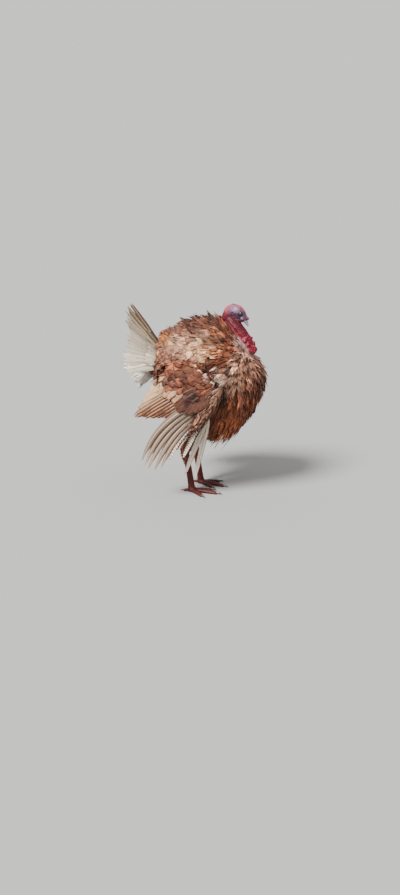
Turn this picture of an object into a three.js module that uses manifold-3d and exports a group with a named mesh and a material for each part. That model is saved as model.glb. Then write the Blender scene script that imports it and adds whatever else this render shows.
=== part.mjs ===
// A life-size young tom turkey standing in half strut, in millimetres.
// The bird faces +X, its left side is +Y, up is +Z, and the soles rest on z = 0.
// The body is fluffed, the wings droop beside it, the tail is raised and half fanned, and the
// head is drawn back over the breast. Every solid is drawn out to the tips of its feathers.
import * as THREE from "three";
import { mergeVertices } from "three/addons/utils/BufferGeometryUtils.js";
import Module from "manifold-3d";

const wasm = await Module();
wasm.setup();

// ---- driving dimensions, in millimetres and degrees ----
const SEAM = 0.4; // gap left between two parts that touch
const END_ROUNDING = 0.4; // how far a limb's end stands out, as a share of its half height
const RIGHT = -1;
const LEFT = 1;

// Trunk, from the rump to the breast: place along X, top, bottom and half width of the feathers.
// The feathers of the back end in a step above the rump.
const TRUNK_SECTIONS = [
  [-124, 500, 456, 20],
  [-115, 540, 398, 56],
  [-94, 560, 342, 90],
  [-60, 542, 280, 115],
  [-46, 577, 264, 121],
  [0, 590, 230, 134],
  [52, 596, 210, 141],
  [90, 593, 204, 142],
  [122, 573, 211, 137],
  [155, 538, 231, 124],
  [190, 499, 270, 104],
  [218, 462, 323, 76],
  [236, 430, 362, 42],
];
const TRUNK_SIDES = 18;
const TRUNK_SQUARENESS = 2.25; // exponent of the section: 2 is an ellipse
const TRUNK_ENDS = { rump: 4, breast: 7 }; // how far the blunt ends stand out beyond the last sections
const BREAST_CUT_X = 128;
const RUMP_CUT_X = -59;
const BELLY_CUT_Z = 372;

// Head, in its own frame: origin just behind the eyes, x to the beak, pitched down
const HEAD_AT = [159, 0, 610];
const HEAD_PITCH = 33;
const HEAD_SIDES = 12; // facets round the head and the neck
const EYE_CENTRE = { x: 3.5, y: 12.4, z: -0.5 }; // the left eye's, in the head's frame
const EYE_RADIUS = 5.6;
const HEAD_SECTIONS = [
  // from the bill's root over the skull to the nape: x, z, half width and half height
  [29, -7, 7, 7.5],
  [20, -7.5, 11, 12.5],
  [8, -6, 14.8, 18],
  [-6, -4.5, 17.6, 22.6],
  [-22, -5, 18.6, 23.4],
  [-32, -14, 17.8, 20.6],
  [-34, -30, 16.8, 17.4],
  [-27, -43, 15.6, 16],
];
const BEAK_ROOT_X = 24;
const UPPER_BILL = { height: 9, width: 7.2, length: 23, flatZ: -13.6, droop: 8 };
const LOWER_BILL = { height: 4.4, width: 6.2, length: 19, flatZ: -15, droop: 3.5 };
const BILL_SLOPE = 2.4; // fall of the straight part of the bill over its length
const BILL_TIP_TAPER = 0.98; // 1 would bring the bill to a point
const BILL_FLAT = 0.8; // bulge of the flat inner side

// Neck, bare skin: centre line from the nape down to the chest
const NECK_PATH = [
  [116, 0, 606],
  [126, 0, 585],
  [144.5, 0, 565],
  [165, 0, 539.5],
  [180.5, 0, 515],
  [190, 0, 490],
  [194, 0, 466],
];
const NECK_RADII = [15, 19, 21.5, 21, 20, 19.5, 20]; // fullest at the throat, where the dewlap is
const NECK_NARROWING = 0.92; // the neck is a little deeper than wide
const CARUNCLE_START = 0.58; // share of the neck where the thick caruncles begin
const CARUNCLE_END = 0.9;
const CARUNCLE_COLLAR = 1.2; // thickness of the collar under the lumps
const CARUNCLE_REACH = 72; // how far round from the front the lumps go, to each side
const CARUNCLE_ROWS = [
  // share of the neck, size and count of the lumps in a row
  { at: 0.63, size: 6.5, count: 3 },
  { at: 0.73, size: 8, count: 3 },
  { at: 0.83, size: 9, count: 3 },
];

// Legs
const FEET = [
  { side: RIGHT, x: 9, y: -57, turn: -1 },
  { side: LEFT, x: 7, y: 42, turn: -10 },
];
const ANKLE_HEIGHT = 17;
const HOCK_HEIGHT = 152;
const HOCK_BACK = 24; // the hock stands this far behind the foot
const SHANK_RADIUS = 9.5;
const HOCK_RADIUS = 12;
const THIGH_TOP = [-2, 262]; // x and z of the top of the drumstick
const THIGH_RADIUS = 40;
const TOES = {
  // heading from straight ahead (outwards is positive), length without claw, radius at its root
  inner: { heading: -24, length: 70, radius: 6.6 },
  middle: { heading: 1, length: 95, radius: 7.4 },
  outer: { heading: 40, length: 70, radius: 6.8 },
  hind: { heading: 176, length: 30, radius: 5.4 },
};
const CLAW_LENGTH = 17;
const SOLE_SINK = 0.7; // share of a toe's radius that is left under its axis, which makes the flat sole

// Flight feathers
const VANE_EDGE = 0.35; // half thickness of a vane's edge
const VANE_RIDGE = 1.3; // half thickness along the shaft
const FREE_SHARE = 0.46; // how much of the way to the next shaft a free vane fills
const PRIMARIES = 10;
const SECONDARIES = 12;
const RECTRICES = 18;

// Wings, given for the right one; the left one is the same wing held further back and higher
const WING = {
  wrist: [128, 150, 362],
  elbow: [-28, 146, 428],
  primaryRoots: [
    // the first and the last primary's root, at the back and at the front of the hand
    [106, 150, 348],
    [97, 136, 284],
  ],
  primaryBow: [-62, 8, 44], // how far the innermost primary bows away from straight
  secondaryTips: [
    [-84, 162, 384],
    [-150, 176, 277],
    [-52, 172, 280],
  ],
  // the coverts over the forearm and over the hand: x, y, z, half thickness and half height
  armCoverts: [
    [-70, 150, 402, 8, 26],
    [-52, 149, 398, 16, 52],
    [-14, 147, 390, 22, 72],
    [42, 147, 380, 24, 76],
    [92, 148, 370, 20, 59],
    [120, 149, 366, 10, 36],
  ],
  handCoverts: [
    [146, 150, 388, 7, 9],
    [132, 152, 362, 12, 19],
    [108, 156, 328, 13, 25],
    [82, 161, 286, 10, 21],
    [62, 165, 256, 5, 10],
  ],
};
const WING_POSES = {
  right: {
    side: RIGHT,
    shift: [0, 0, 0],
    // tips of the primaries, the innermost first
    primaryTips: [
      [-111, 196, 138],
      [-100, 197, 124],
      [-88, 197, 115],
      [-67, 196, 111],
      [-45, 194, 119],
      [-16, 188, 150],
      [8, 178, 182],
      [19, 162, 150],
      [4, 112, 78],
      [27, 82, 56],
    ],
  },
  left: {
    side: LEFT,
    shift: [-34, 0, 8],
    primaryTips: [
      [-176, 186, 196],
      [-168, 186, 184],
      [-158, 185, 174],
      [-146, 184, 166],
      [-133, 183, 159],
      [-119, 181, 152],
      [-106, 179, 147],
      [-94, 177, 142],
      [-82, 172, 139],
      [-70, 166, 138],
    ],
  },
};

// Tail fan: feathers stand round one root point
const TAIL_ROOT = [-94, 0, 446];
const TAIL_ROOT_GAP = 22; // the vanes start this far from the root point
const TAIL_TOP = [-0.56, -0.01, 0.83]; // direction of the middle pair
const TAIL_SIDES = [
  // direction of the outermost feathers, angle from the middle to them, and lengths outwards
  {
    side: LEFT,
    aside: [-0.6, 0.78, 0.16],
    spread: 72,
    lengths: [234, 222, 208, 198, 194, 192, 190, 188, 184],
  },
  {
    side: RIGHT,
    aside: [-0.34, -0.93, 0.13],
    spread: 104,
    lengths: [236, 226, 204, 184, 172, 170, 184, 222, 222],
  },
];
const UNDERTAIL = { center: [-136, -34, 427], radii: [52, 66, 26], turn: 10 };

// ---- small helpers ----
const vec = (a) => new THREE.Vector3(...a);
const rad = THREE.MathUtils.degToRad;
const lerp = THREE.MathUtils.lerp;

function material(color, roughness) {
  return new THREE.MeshStandardMaterial({ color, roughness, metalness: 0 });
}

const LOOKS = {
  rust: material(0x9a5a38, 0.85),
  buff: material(0xc79c70, 0.85),
  darkRust: material(0x7b452c, 0.85),
  cream: material(0xd9cdb8, 0.8),
  tailCream: material(0xddd3c0, 0.8),
  headSkin: material(0xcfa9b6, 0.55),
  neckSkin: material(0xb04058, 0.5),
  caruncle: material(0xd4607a, 0.45),
  beak: material(0x6b5148, 0.45),
  eye: material(0x1a1210, 0.1),
  leg: material(0x74433f, 0.6),
  claw: material(0x4a3a34, 0.45),
};

const group = new THREE.Group();

function addPart(name, geometry, look) {
  const mesh = new THREE.Mesh(geometry, look);
  mesh.name = name;
  group.add(mesh);
}

// A closed geometry as a manifold solid.
function solidOf(geometry) {
  const bare = geometry.clone();
  bare.deleteAttribute("normal");
  bare.deleteAttribute("uv");
  const merged = mergeVertices(bare, 1e-4);
  return new wasm.Manifold(
    new wasm.Mesh({
      numProp: 3,
      vertProperties: new Float32Array(merged.attributes.position.array),
      triVerts: new Uint32Array(merged.index.array),
    }),
  );
}

// The biggest body of a manifold solid, as a geometry.
function geometryOf(solid) {
  const bodies = solid.decompose();
  const biggest = bodies.reduce((a, b) => (a.volume() > b.volume() ? a : b));
  const mesh = biggest.getMesh();
  const geometry = new THREE.BufferGeometry();
  geometry.setAttribute("position", new THREE.BufferAttribute(mesh.vertProperties, 3));
  geometry.setIndex(new THREE.BufferAttribute(mesh.triVerts, 1));
  return geometry;
}

function boxSolid(low, high) {
  const size = vec(high).sub(vec(low));
  const middle = vec(low).add(vec(high)).multiplyScalar(0.5);
  const box = new THREE.BoxGeometry(size.x, size.y, size.z);
  return solidOf(box.translate(middle.x, middle.y, middle.z));
}

function ellipsoidSolid(center, radii, turn = 0) {
  const ball = new THREE.SphereGeometry(1, 10, 6);
  ball.scale(...radii).rotateY(rad(turn)).translate(...center);
  return solidOf(ball);
}

// The same closed geometry with its faces turned outwards.
function facingOut(geometry) {
  const place = geometry.attributes.position;
  const index = geometry.index.array;
  const corner = (i) => new THREE.Vector3().fromBufferAttribute(place, index[i]);
  let volume = 0;
  for (let i = 0; i < index.length; i += 3)
    volume += corner(i).dot(corner(i + 1).cross(corner(i + 2)));
  if (volume < 0) geometry.setIndex(Array.from(index).reverse());
  return geometry;
}

// A closed body through rings of points, with a point at each end.
function loftGeometry(rings, startPoint, endPoint) {
  const sides = rings[0].length;
  const points = [startPoint, ...rings.flat(), endPoint];
  const last = points.length - 1;
  const index = [];
  const at = (ring, side) => 1 + ring * sides + (side % sides);
  for (let s = 0; s < sides; s++) {
    index.push(0, at(0, s + 1), at(0, s));
    for (let k = 0; k + 1 < rings.length; k++) {
      index.push(at(k, s), at(k, s + 1), at(k + 1, s + 1));
      index.push(at(k, s), at(k + 1, s + 1), at(k + 1, s));
    }
    index.push(last, at(rings.length - 1, s), at(rings.length - 1, s + 1));
  }
  const geometry = new THREE.BufferGeometry().setFromPoints(points);
  geometry.setIndex(index);
  return facingOut(geometry);
}

// Smooth values between rows of numbers, at t from 0 to 1 along the rows.
function smoothRow(rows, t) {
  const place = t * (rows.length - 1);
  const k = Math.min(Math.floor(place), rows.length - 2);
  const u = place - k;
  const row = (i) => rows[THREE.MathUtils.clamp(i, 0, rows.length - 1)];
  return rows[0].map((_, c) => {
    const [a, b, d, e] = [row(k - 1)[c], row(k)[c], row(k + 1)[c], row(k + 2)[c]];
    const slopeB = (d - a) / 2;
    const slopeD = (e - b) / 2;
    const u2 = u * u;
    const u3 = u2 * u;
    const ofValues = (2 * u3 - 3 * u2 + 1) * b + (3 * u2 - 2 * u3) * d;
    const ofSlopes = (u3 - 2 * u2 + u) * slopeB + (u3 - u2) * slopeD;
    return ofValues + ofSlopes;
  });
}

// A limb along a path. Each path point has a half width (along Y) and a half height.
function limbGeometry(path, halves, steps, sides) {
  const curve = new THREE.CatmullRomCurve3(path.map(vec), false, "centripetal");
  const rings = [];
  for (let k = 0; k <= steps; k++) {
    const t = k / steps;
    const along = curve.getTangent(t);
    const side = sideOf(along);
    const up = new THREE.Vector3().crossVectors(along, side);
    const [wide, high] = smoothRow(halves, t);
    rings.push(ringOf(curve.getPoint(t), side, up, wide, high, sides));
  }
  const rounding = (half) => Math.min(...half) * END_ROUNDING;
  const start = curve.getPoint(0).addScaledVector(curve.getTangent(0), -rounding(halves[0]));
  const end = curve.getPoint(1).addScaledVector(curve.getTangent(1), rounding(halves[halves.length - 1]));
  return loftGeometry(rings, start, end);
}

function sideOf(along) {
  const side = new THREE.Vector3(0, 1, 0);
  return side.addScaledVector(along, -side.dot(along)).normalize();
}

function ringOf(center, side, up, wide, high, sides) {
  return Array.from({ length: sides }, (_, s) => {
    const angle = (2 * Math.PI * s) / sides;
    return center
      .clone()
      .addScaledVector(side, wide * Math.cos(angle))
      .addScaledVector(up, high * Math.sin(angle));
  });
}

// Equal half widths and half heights for a limb of round section, each grown a little.
const roundHalves = (radii, grow, flatten = 1) => radii.map((r) => [(r + grow) * flatten, r + grow]);

// ---- trunk ----
function trunkGeometry(grow) {
  const rings = TRUNK_SECTIONS.map(([x, top, bottom, half]) => {
    const middle = (top + bottom) / 2;
    const high = (top - bottom) / 2 + grow;
    return Array.from({ length: TRUNK_SIDES }, (_, s) => {
      const angle = (-2 * Math.PI * s) / TRUNK_SIDES;
      const power = 2 / TRUNK_SQUARENESS;
      const across = Math.sign(Math.cos(angle)) * Math.abs(Math.cos(angle)) ** power;
      const up = Math.sign(Math.sin(angle)) * Math.abs(Math.sin(angle)) ** power;
      return new THREE.Vector3(x, (half + grow) * across, middle + high * up);
    });
  });
  const first = TRUNK_SECTIONS[0];
  const last = TRUNK_SECTIONS[TRUNK_SECTIONS.length - 1];
  const start = new THREE.Vector3(first[0] - TRUNK_ENDS.rump - grow, 0, (first[1] + first[2]) / 2);
  const end = new THREE.Vector3(last[0] + TRUNK_ENDS.breast + grow, 0, (last[1] + last[2]) / 2);
  return loftGeometry(rings, start, end);
}

const trunkWhole = solidOf(trunkGeometry(0));
const trunkGrown = solidOf(trunkGeometry(SEAM));

function addTrunk() {
  const far = 900; // beyond the bird on every side
  const half = SEAM / 2;
  const piece = (low, high) => geometryOf(trunkWhole.intersect(boxSolid(low, high)));
  addPart("breast", piece([BREAST_CUT_X + half, -far, 0], [far, far, far]), LOOKS.darkRust);
  addPart("rump", piece([-far, -far, 0], [RUMP_CUT_X - half, far, far]), LOOKS.buff);
  const fromX = RUMP_CUT_X + half;
  const toX = BREAST_CUT_X - half;
  addPart("back", piece([fromX, -far, BELLY_CUT_Z + half], [toX, far, far]), LOOKS.rust);
  addPart("belly", piece([fromX, -far, 0], [toX, far, BELLY_CUT_Z - half]), LOOKS.rust);
}

// ---- head and neck ----
const headFrame = new THREE.Matrix4()
  .makeTranslation(...HEAD_AT)
  .multiply(new THREE.Matrix4().makeRotationY(rad(HEAD_PITCH)));

function headSolid(grow) {
  const path = HEAD_SECTIONS.map(([x, z]) => [x, 0, z]);
  const halves = HEAD_SECTIONS.map(([, , wide, high]) => [wide + grow, high + grow]);
  return solidOf(limbGeometry(path, halves, 8, HEAD_SIDES).applyMatrix4(headFrame));
}

// One half of the bill: a tapering body, half round on its outer side and nearly flat inside.
function billSolid({ height, width, length, flatZ, droop }, sign, grow) {
  const steps = 5;
  const sides = 8;
  const rings = [];
  for (let k = 0; k < steps; k++) {
    const t = k / steps;
    const taper = Math.sqrt(1 - BILL_TIP_TAPER * t * t);
    const z = flatZ - droop * t * t - BILL_SLOPE * t;
    rings.push(
      Array.from({ length: sides }, (_, s) => {
        const angle = (2 * Math.PI * s) / sides;
        const outer = Math.max(Math.sin(angle), 0) * (height * taper + grow);
        const inner = Math.min(Math.sin(angle), 0) * (BILL_FLAT * taper + grow);
        const across = (width * taper + grow) * Math.cos(angle);
        return new THREE.Vector3(BEAK_ROOT_X + length * t, across, z + sign * (outer + inner));
      }),
    );
  }
  const start = new THREE.Vector3(BEAK_ROOT_X - 1, 0, flatZ + sign * height * 0.4);
  const end = new THREE.Vector3(BEAK_ROOT_X + length, 0, flatZ - droop - BILL_SLOPE + sign * 0.3);
  return solidOf(loftGeometry(rings, start, end).applyMatrix4(headFrame));
}

const upperBill = (grow) => billSolid(UPPER_BILL, 1, grow);
const lowerBill = (grow) => billSolid(LOWER_BILL, -1, grow);

function eyeSolid(side, grow) {
  const radius = EYE_RADIUS + grow;
  const { x, y, z } = EYE_CENTRE;
  const ball = new THREE.SphereGeometry(radius, 8, 6).translate(x, side * y, z);
  return solidOf(ball.applyMatrix4(headFrame));
}

function snoodSolid(grow) {
  const path = [
    [22, 0, -2],
    [27, 0, 0],
    [32, 0, -1],
    [35, 0, -4.5],
  ];
  const cone = limbGeometry(path, roundHalves([4.8, 4.2, 3.2, 2.2], grow), 5, 8);
  return solidOf(cone.applyMatrix4(headFrame));
}

const neckCurve = new THREE.CatmullRomCurve3(NECK_PATH.map(vec), false, "centripetal");
const neckRadius = (t) => smoothRow(NECK_RADII.map((r) => [r]), t)[0];

function neckSolid(grow, from, to, steps) {
  const shares = Array.from({ length: steps + 1 }, (_, k) => lerp(from, to, k / steps));
  const path = shares.map((t) => neckCurve.getPoint(t).toArray());
  const halves = roundHalves(shares.map(neckRadius), grow, NECK_NARROWING);
  return solidOf(limbGeometry(path, halves, steps, HEAD_SIDES));
}

// The caruncles: a thick collar round the neck's foot with rows of lumps, biggest below in front.
function carunclesSolid(grow) {
  let collar = neckSolid(CARUNCLE_COLLAR + grow, CARUNCLE_START, CARUNCLE_END, 3);
  for (const { at, size, count } of CARUNCLE_ROWS) {
    const center = neckCurve.getPoint(at);
    const side = new THREE.Vector3(0, 1, 0);
    const front = new THREE.Vector3().crossVectors(neckCurve.getTangent(at), side);
    if (front.x < 0) front.multiplyScalar(-1);
    const radius = neckRadius(at);
    for (let i = 0; i < count; i++) {
      const angle = rad(lerp(-CARUNCLE_REACH, CARUNCLE_REACH, i / (count - 1)));
      const place = center
        .clone()
        .addScaledVector(front, radius * Math.cos(angle))
        .addScaledVector(side, radius * NECK_NARROWING * Math.sin(angle));
      const lump = size * (0.75 + 0.25 * Math.cos(angle)) + grow;
      const ball = new THREE.SphereGeometry(lump, 6, 4).translate(...place.toArray());
      collar = collar.add(solidOf(ball));
    }
  }
  return collar;
}

const subtractAll = (solid, rooms) => rooms.reduce((left, room) => left.subtract(room), solid);

function addHeadAndNeck() {
  const eyeRooms = [eyeSolid(RIGHT, SEAM), eyeSolid(LEFT, SEAM)];
  const rooms = [...eyeRooms, upperBill(SEAM), lowerBill(SEAM), snoodSolid(SEAM), trunkGrown];
  addPart("head", geometryOf(subtractAll(headSolid(0), rooms)), LOOKS.headSkin);
  addPart("eye_right", geometryOf(eyeSolid(RIGHT, 0)), LOOKS.eye);
  addPart("eye_left", geometryOf(eyeSolid(LEFT, 0)), LOOKS.eye);
  addPart("beak_upper", geometryOf(upperBill(0).subtract(snoodSolid(SEAM))), LOOKS.beak);
  addPart("beak_lower", geometryOf(lowerBill(0).subtract(upperBill(SEAM))), LOOKS.beak);
  addPart("snood", geometryOf(snoodSolid(0)), LOOKS.caruncle);
  const neckRooms = [headSolid(0), headSolid(SEAM), lowerBill(SEAM), carunclesSolid(SEAM), trunkGrown];
  const neck = neckSolid(0, 0, CARUNCLE_START, 5);
  addPart("neck", geometryOf(subtractAll(neck, neckRooms)), LOOKS.neckSkin);
  const caruncles = carunclesSolid(0);
  addPart("caruncles", geometryOf(subtractAll(caruncles, [headSolid(SEAM), trunkGrown])), LOOKS.caruncle);
}

// ---- legs ----
const groundCutter = boxSolid([-400, -400, -60], [400, 400, 0]);

// A toe's axis from the ball of the foot, flat along the ground, and its claw's beyond it.
function toeAxis(foot, toe) {
  const heading = rad(foot.turn + toe.heading) * foot.side;
  const ahead = new THREE.Vector3(Math.cos(heading), Math.sin(heading), 0);
  const root = new THREE.Vector3(foot.x, foot.y, 0);
  return (distance, height) => root.clone().addScaledVector(ahead, distance).setZ(height).toArray();
}

function toeSolid(foot, toe, grow) {
  const at = toeAxis(foot, toe);
  const r = toe.radius;
  const sink = SOLE_SINK;
  const path = [
    at(5, r * 1.15),
    at(toe.length * 0.22, r * sink),
    at(toe.length * 0.6, r * 0.86 * sink),
    at(toe.length * 0.97, r * 0.7 * sink),
  ];
  const halves = roundHalves([r, r, r * 0.86, r * 0.7], grow);
  return solidOf(limbGeometry(path, halves, 3, 6));
}

function clawSolid(foot, toe, grow) {
  const at = toeAxis(foot, toe);
  const r = toe.radius * 0.52;
  const reach = CLAW_LENGTH * (toe.length > 40 ? 1 : 0.75);
  const path = [
    at(toe.length - 4, r * 1.5),
    at(toe.length + reach * 0.35, r * 1.5),
    at(toe.length + reach * 0.75, r * 1.05),
    at(toe.length + reach, 1.1),
  ];
  return solidOf(limbGeometry(path, roundHalves([r, r * 0.9, r * 0.6, 0.7], grow), 3, 6));
}

function footPadSolid(foot, grow) {
  return ellipsoidSolid([foot.x + 1, foot.y, 7], [14 + grow, 11.5 + grow, 11 + grow]);
}

function shankSolid(foot, grow) {
  const hockX = foot.x - HOCK_BACK;
  const path = [
    [foot.x - 1, foot.y, ANKLE_HEIGHT - 6],
    [foot.x - 4, foot.y, ANKLE_HEIGHT + 18],
    [lerp(foot.x, hockX, 0.62), foot.y, lerp(ANKLE_HEIGHT, HOCK_HEIGHT, 0.62)],
    [hockX + 1, foot.y, HOCK_HEIGHT - 14],
    [hockX + 1, foot.y, HOCK_HEIGHT + 2],
  ];
  const r = SHANK_RADIUS;
  const radii = [r * 1.25, r, r * 0.98, HOCK_RADIUS * 0.9, HOCK_RADIUS];
  return solidOf(limbGeometry(path, roundHalves(radii, grow, 0.86), 5, 9));
}

function thighSolid(foot) {
  const hockX = foot.x - HOCK_BACK;
  const path = [
    [THIGH_TOP[0], foot.y * 1.1, THIGH_TOP[1]],
    [lerp(THIGH_TOP[0], hockX, 0.45), foot.y * 1.05, lerp(THIGH_TOP[1], HOCK_HEIGHT, 0.45)],
    [hockX + 2, foot.y, HOCK_HEIGHT + 4],
  ];
  return solidOf(limbGeometry(path, roundHalves([THIGH_RADIUS, THIGH_RADIUS * 0.78, 14], 0), 3, 10));
}

function addLeg(foot) {
  const name = foot.side === RIGHT ? "right" : "left";
  const pad = footPadSolid(foot, 0).subtract(groundCutter);
  const padRoom = footPadSolid(foot, SEAM);
  addPart(`foot_${name}`, geometryOf(pad), LOOKS.leg);
  const shank = shankSolid(foot, 0).subtract(padRoom);
  addPart(`shank_${name}`, geometryOf(shank), LOOKS.leg);
  const thigh = thighSolid(foot).subtract(shankSolid(foot, SEAM)).subtract(trunkGrown);
  addPart(`thigh_${name}`, geometryOf(thigh), LOOKS.rust);
  let taken = padRoom.add(shankSolid(foot, SEAM));
  for (const [toeName, toe] of Object.entries(TOES)) {
    const claw = clawSolid(foot, toe, 0).subtract(groundCutter);
    const whole = toeSolid(foot, toe, 0).subtract(groundCutter);
    const toeBody = whole.subtract(taken).subtract(clawSolid(foot, toe, SEAM));
    addPart(`toe_${name}_${toeName}`, geometryOf(toeBody), LOOKS.leg);
    addPart(`claw_${name}_${toeName}`, geometryOf(claw), LOOKS.claw);
    taken = taken.add(toeSolid(foot, toe, SEAM));
  }
}

// ---- flight feathers ----
// A fan of feathers as one thin plate. Each feather is a curved axis with a half width along it,
// the vanes of neighbours are joined up to `split` of their length and stand apart beyond it,
// and the plate is thickest along the shafts.
function fanGeometry(feathers, split, rows, tipRows, grow = 0) {
  const columns = [];
  const axisPoint = (f, t) => f.curve.getPoint(t);
  const between = (a, b, t) => axisPoint(a, t).lerp(axisPoint(b, t), 0.5);
  const count = feathers.length;
  const points = [];
  const halves = [];
  const faces = [];
  const push = (point, half) => {
    points.push(point);
    halves.push(half);
    return points.length - 1;
  };
  // a vane stops short of the middle between its own shaft and its neighbour's
  const room = (i, t, sign) => {
    const neighbour = feathers[i + sign];
    if (!neighbour) return Infinity;
    const apart = axisPoint(neighbour, t).sub(axisPoint(feathers[i], t));
    return FREE_SHARE * Math.abs(apart.dot(feathers[i].across));
  };
  const edgePoint = (i, t, sign) => {
    const f = feathers[i];
    const wide = Math.min(f.halfWidth(t), room(i, t, sign));
    return axisPoint(f, t).addScaledVector(f.across, sign * wide);
  };
  // joined part: a column on each shaft, between each two shafts and on both outer edges
  for (let c = 0; c <= 2 * count; c++) {
    const column = [];
    for (let k = 0; k <= rows; k++) {
      const t = (split * k) / rows;
      if (c % 2 === 1) column.push(push(axisPoint(feathers[(c - 1) / 2], t), VANE_RIDGE));
      else if (c === 0) column.push(push(edgePoint(0, t, -1), VANE_EDGE));
      else if (c === 2 * count) column.push(push(edgePoint(count - 1, t, 1), VANE_EDGE));
      else column.push(push(between(feathers[c / 2 - 1], feathers[c / 2], t), VANE_EDGE));
    }
    columns.push(column);
  }
  const quad = (a, b, c, d) => faces.push([a, b, c], [a, c, d]);
  for (let c = 0; c < 2 * count; c++)
    for (let k = 0; k < rows; k++)
      quad(columns[c][k], columns[c + 1][k], columns[c + 1][k + 1], columns[c][k + 1]);
  // free part of each feather
  feathers.forEach((f, i) => {
    let low = columns[2 * i][rows];
    let middle = columns[2 * i + 1][rows];
    let high = columns[2 * i + 2][rows];
    for (let k = 1; k < tipRows; k++) {
      const t = lerp(split, 1, k / tipRows);
      const nextLow = push(edgePoint(i, t, -1), VANE_EDGE);
      const nextMiddle = push(axisPoint(f, t), VANE_RIDGE * 0.8);
      const nextHigh = push(edgePoint(i, t, 1), VANE_EDGE);
      quad(low, middle, nextMiddle, nextLow);
      quad(middle, high, nextHigh, nextMiddle);
      [low, middle, high] = [nextLow, nextMiddle, nextHigh];
    }
    const tip = push(axisPoint(f, 1), VANE_EDGE);
    faces.push([low, middle, tip], [middle, high, tip]);
  });
  return thicken(points, halves.map((half) => half + grow), faces);
}

// An open sheet of triangles becomes a closed plate, each point moved both ways along its normal.
function thicken(points, halves, faces) {
  const normals = points.map(() => new THREE.Vector3());
  for (const [a, b, c] of faces) {
    const ab = points[b].clone().sub(points[a]);
    const ac = points[c].clone().sub(points[a]);
    const normal = ab.cross(ac);
    for (const i of [a, b, c]) normals[i].add(normal);
  }
  const count = points.length;
  const above = points.map((p, i) => p.clone().addScaledVector(normals[i].normalize(), halves[i]));
  const below = points.map((p, i) => p.clone().addScaledVector(normals[i], -halves[i]));
  const index = [];
  const edges = new Map();
  for (const [a, b, c] of faces) {
    index.push(a, b, c, a + count, c + count, b + count);
    for (const [p, q] of [[a, b], [b, c], [c, a]]) edges.set(`${p},${q}`, [p, q]);
  }
  for (const [p, q] of edges.values()) {
    if (edges.has(`${q},${p}`)) continue;
    index.push(p, p + count, q + count, p, q + count, q);
  }
  const geometry = new THREE.BufferGeometry().setFromPoints([...above, ...below]);
  geometry.setIndex(index);
  return facingOut(geometry);
}

// A feather for the fans: root, tip, how its middle bows aside, its widest half width.
function feather(root, tip, bow, across, halfWidth) {
  const middle = root.clone().lerp(tip, 0.5).add(bow);
  return {
    curve: new THREE.QuadraticBezierCurve3(root, middle, tip),
    across,
    halfWidth: (t) => halfWidth * Math.min(1, 0.45 + 1.2 * t) * Math.sqrt(Math.max(0, 1 - t ** 6)),
  };
}

function wingPoint(point, pose) {
  const [x, y, z] = point;
  return new THREE.Vector3(x, pose.side * y, z).add(vec(pose.shift));
}

function primaryFan(pose) {
  const [firstRoot, lastRoot] = WING.primaryRoots.map((root) => wingPoint(root, pose));
  const feathers = [];
  for (let i = 0; i < PRIMARIES; i++) {
    const u = i / (PRIMARIES - 1);
    const root = firstRoot.clone().lerp(lastRoot, u);
    const [x, y, z] = pose.primaryTips[i];
    const tip = new THREE.Vector3(x, pose.side * y, z);
    const bow = vec(WING.primaryBow).multiplyScalar((1 - u) ** 1.2);
    bow.y *= pose.side;
    const across = acrossWing(root, tip, pose.side, 1);
    feathers.push(feather(root, tip, bow, across, lerp(10, 8, u)));
  }
  return fanGeometry(feathers, 0.5, 2, 2);
}

// The direction across a feather's vane in the plane of the wing: forwards for +1, upwards for -1.
function acrossWing(root, tip, side, sign) {
  const run = tip.clone().sub(root).normalize();
  const across = new THREE.Vector3(0, side, 0).cross(run).normalize();
  const wrongWay = sign > 0 ? across.x < 0 : across.z > 0;
  return wrongWay ? across.multiplyScalar(-1) : across;
}

function secondaryFan(pose, grow) {
  const wrist = wingPoint(WING.wrist, pose);
  const elbow = wingPoint(WING.elbow, pose);
  const [inner, corner, outer] = WING.secondaryTips.map((tip) => wingPoint(tip, pose));
  const feathers = [];
  for (let i = 0; i < SECONDARIES; i++) {
    const u = i / (SECONDARIES - 1);
    const root = elbow.clone().lerp(wrist, 0.1 + 0.75 * u);
    const tip = u < 0.5 ? inner.clone().lerp(corner, 2 * u) : corner.clone().lerp(outer, 2 * u - 1);
    const across = acrossWing(root, tip, pose.side, -1);
    feathers.push(feather(root, tip, new THREE.Vector3(0, pose.side * 6, 4), across, 9));
  }
  return fanGeometry(feathers, 0.72, 1, 2, grow);
}

// A shield of coverts through rows of x, y, z, half thickness and half height.
function covertsSolid(rows, pose, grow, steps) {
  const path = rows.map((row) => wingPoint(row, pose).toArray());
  const halves = rows.map((row) => [row[3] + grow, row[4] + grow]);
  return solidOf(limbGeometry(path, halves, steps, 12));
}

function addWing(name) {
  const pose = WING_POSES[name];
  const arm = (grow) => covertsSolid(WING.armCoverts, pose, grow, 6);
  const hand = (grow) => covertsSolid(WING.handCoverts, pose, grow, 4);
  addPart(`wing_${name}_coverts`, geometryOf(arm(0).subtract(trunkGrown)), LOOKS.rust);
  const handBody = subtractAll(hand(0), [arm(SEAM), trunkGrown]);
  addPart(`wing_${name}_hand`, geometryOf(handBody), LOOKS.buff);
  const rooms = [arm(SEAM), hand(SEAM), trunkGrown];
  const secondaries = solidOf(secondaryFan(pose, 0));
  addPart(`wing_${name}_secondaries`, geometryOf(subtractAll(secondaries, rooms)), LOOKS.cream);
  rooms.push(secondaries, solidOf(secondaryFan(pose, SEAM)));
  const primaries = solidOf(primaryFan(pose));
  addPart(`wing_${name}_primaries`, geometryOf(subtractAll(primaries, rooms)), LOOKS.cream);
}

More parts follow.
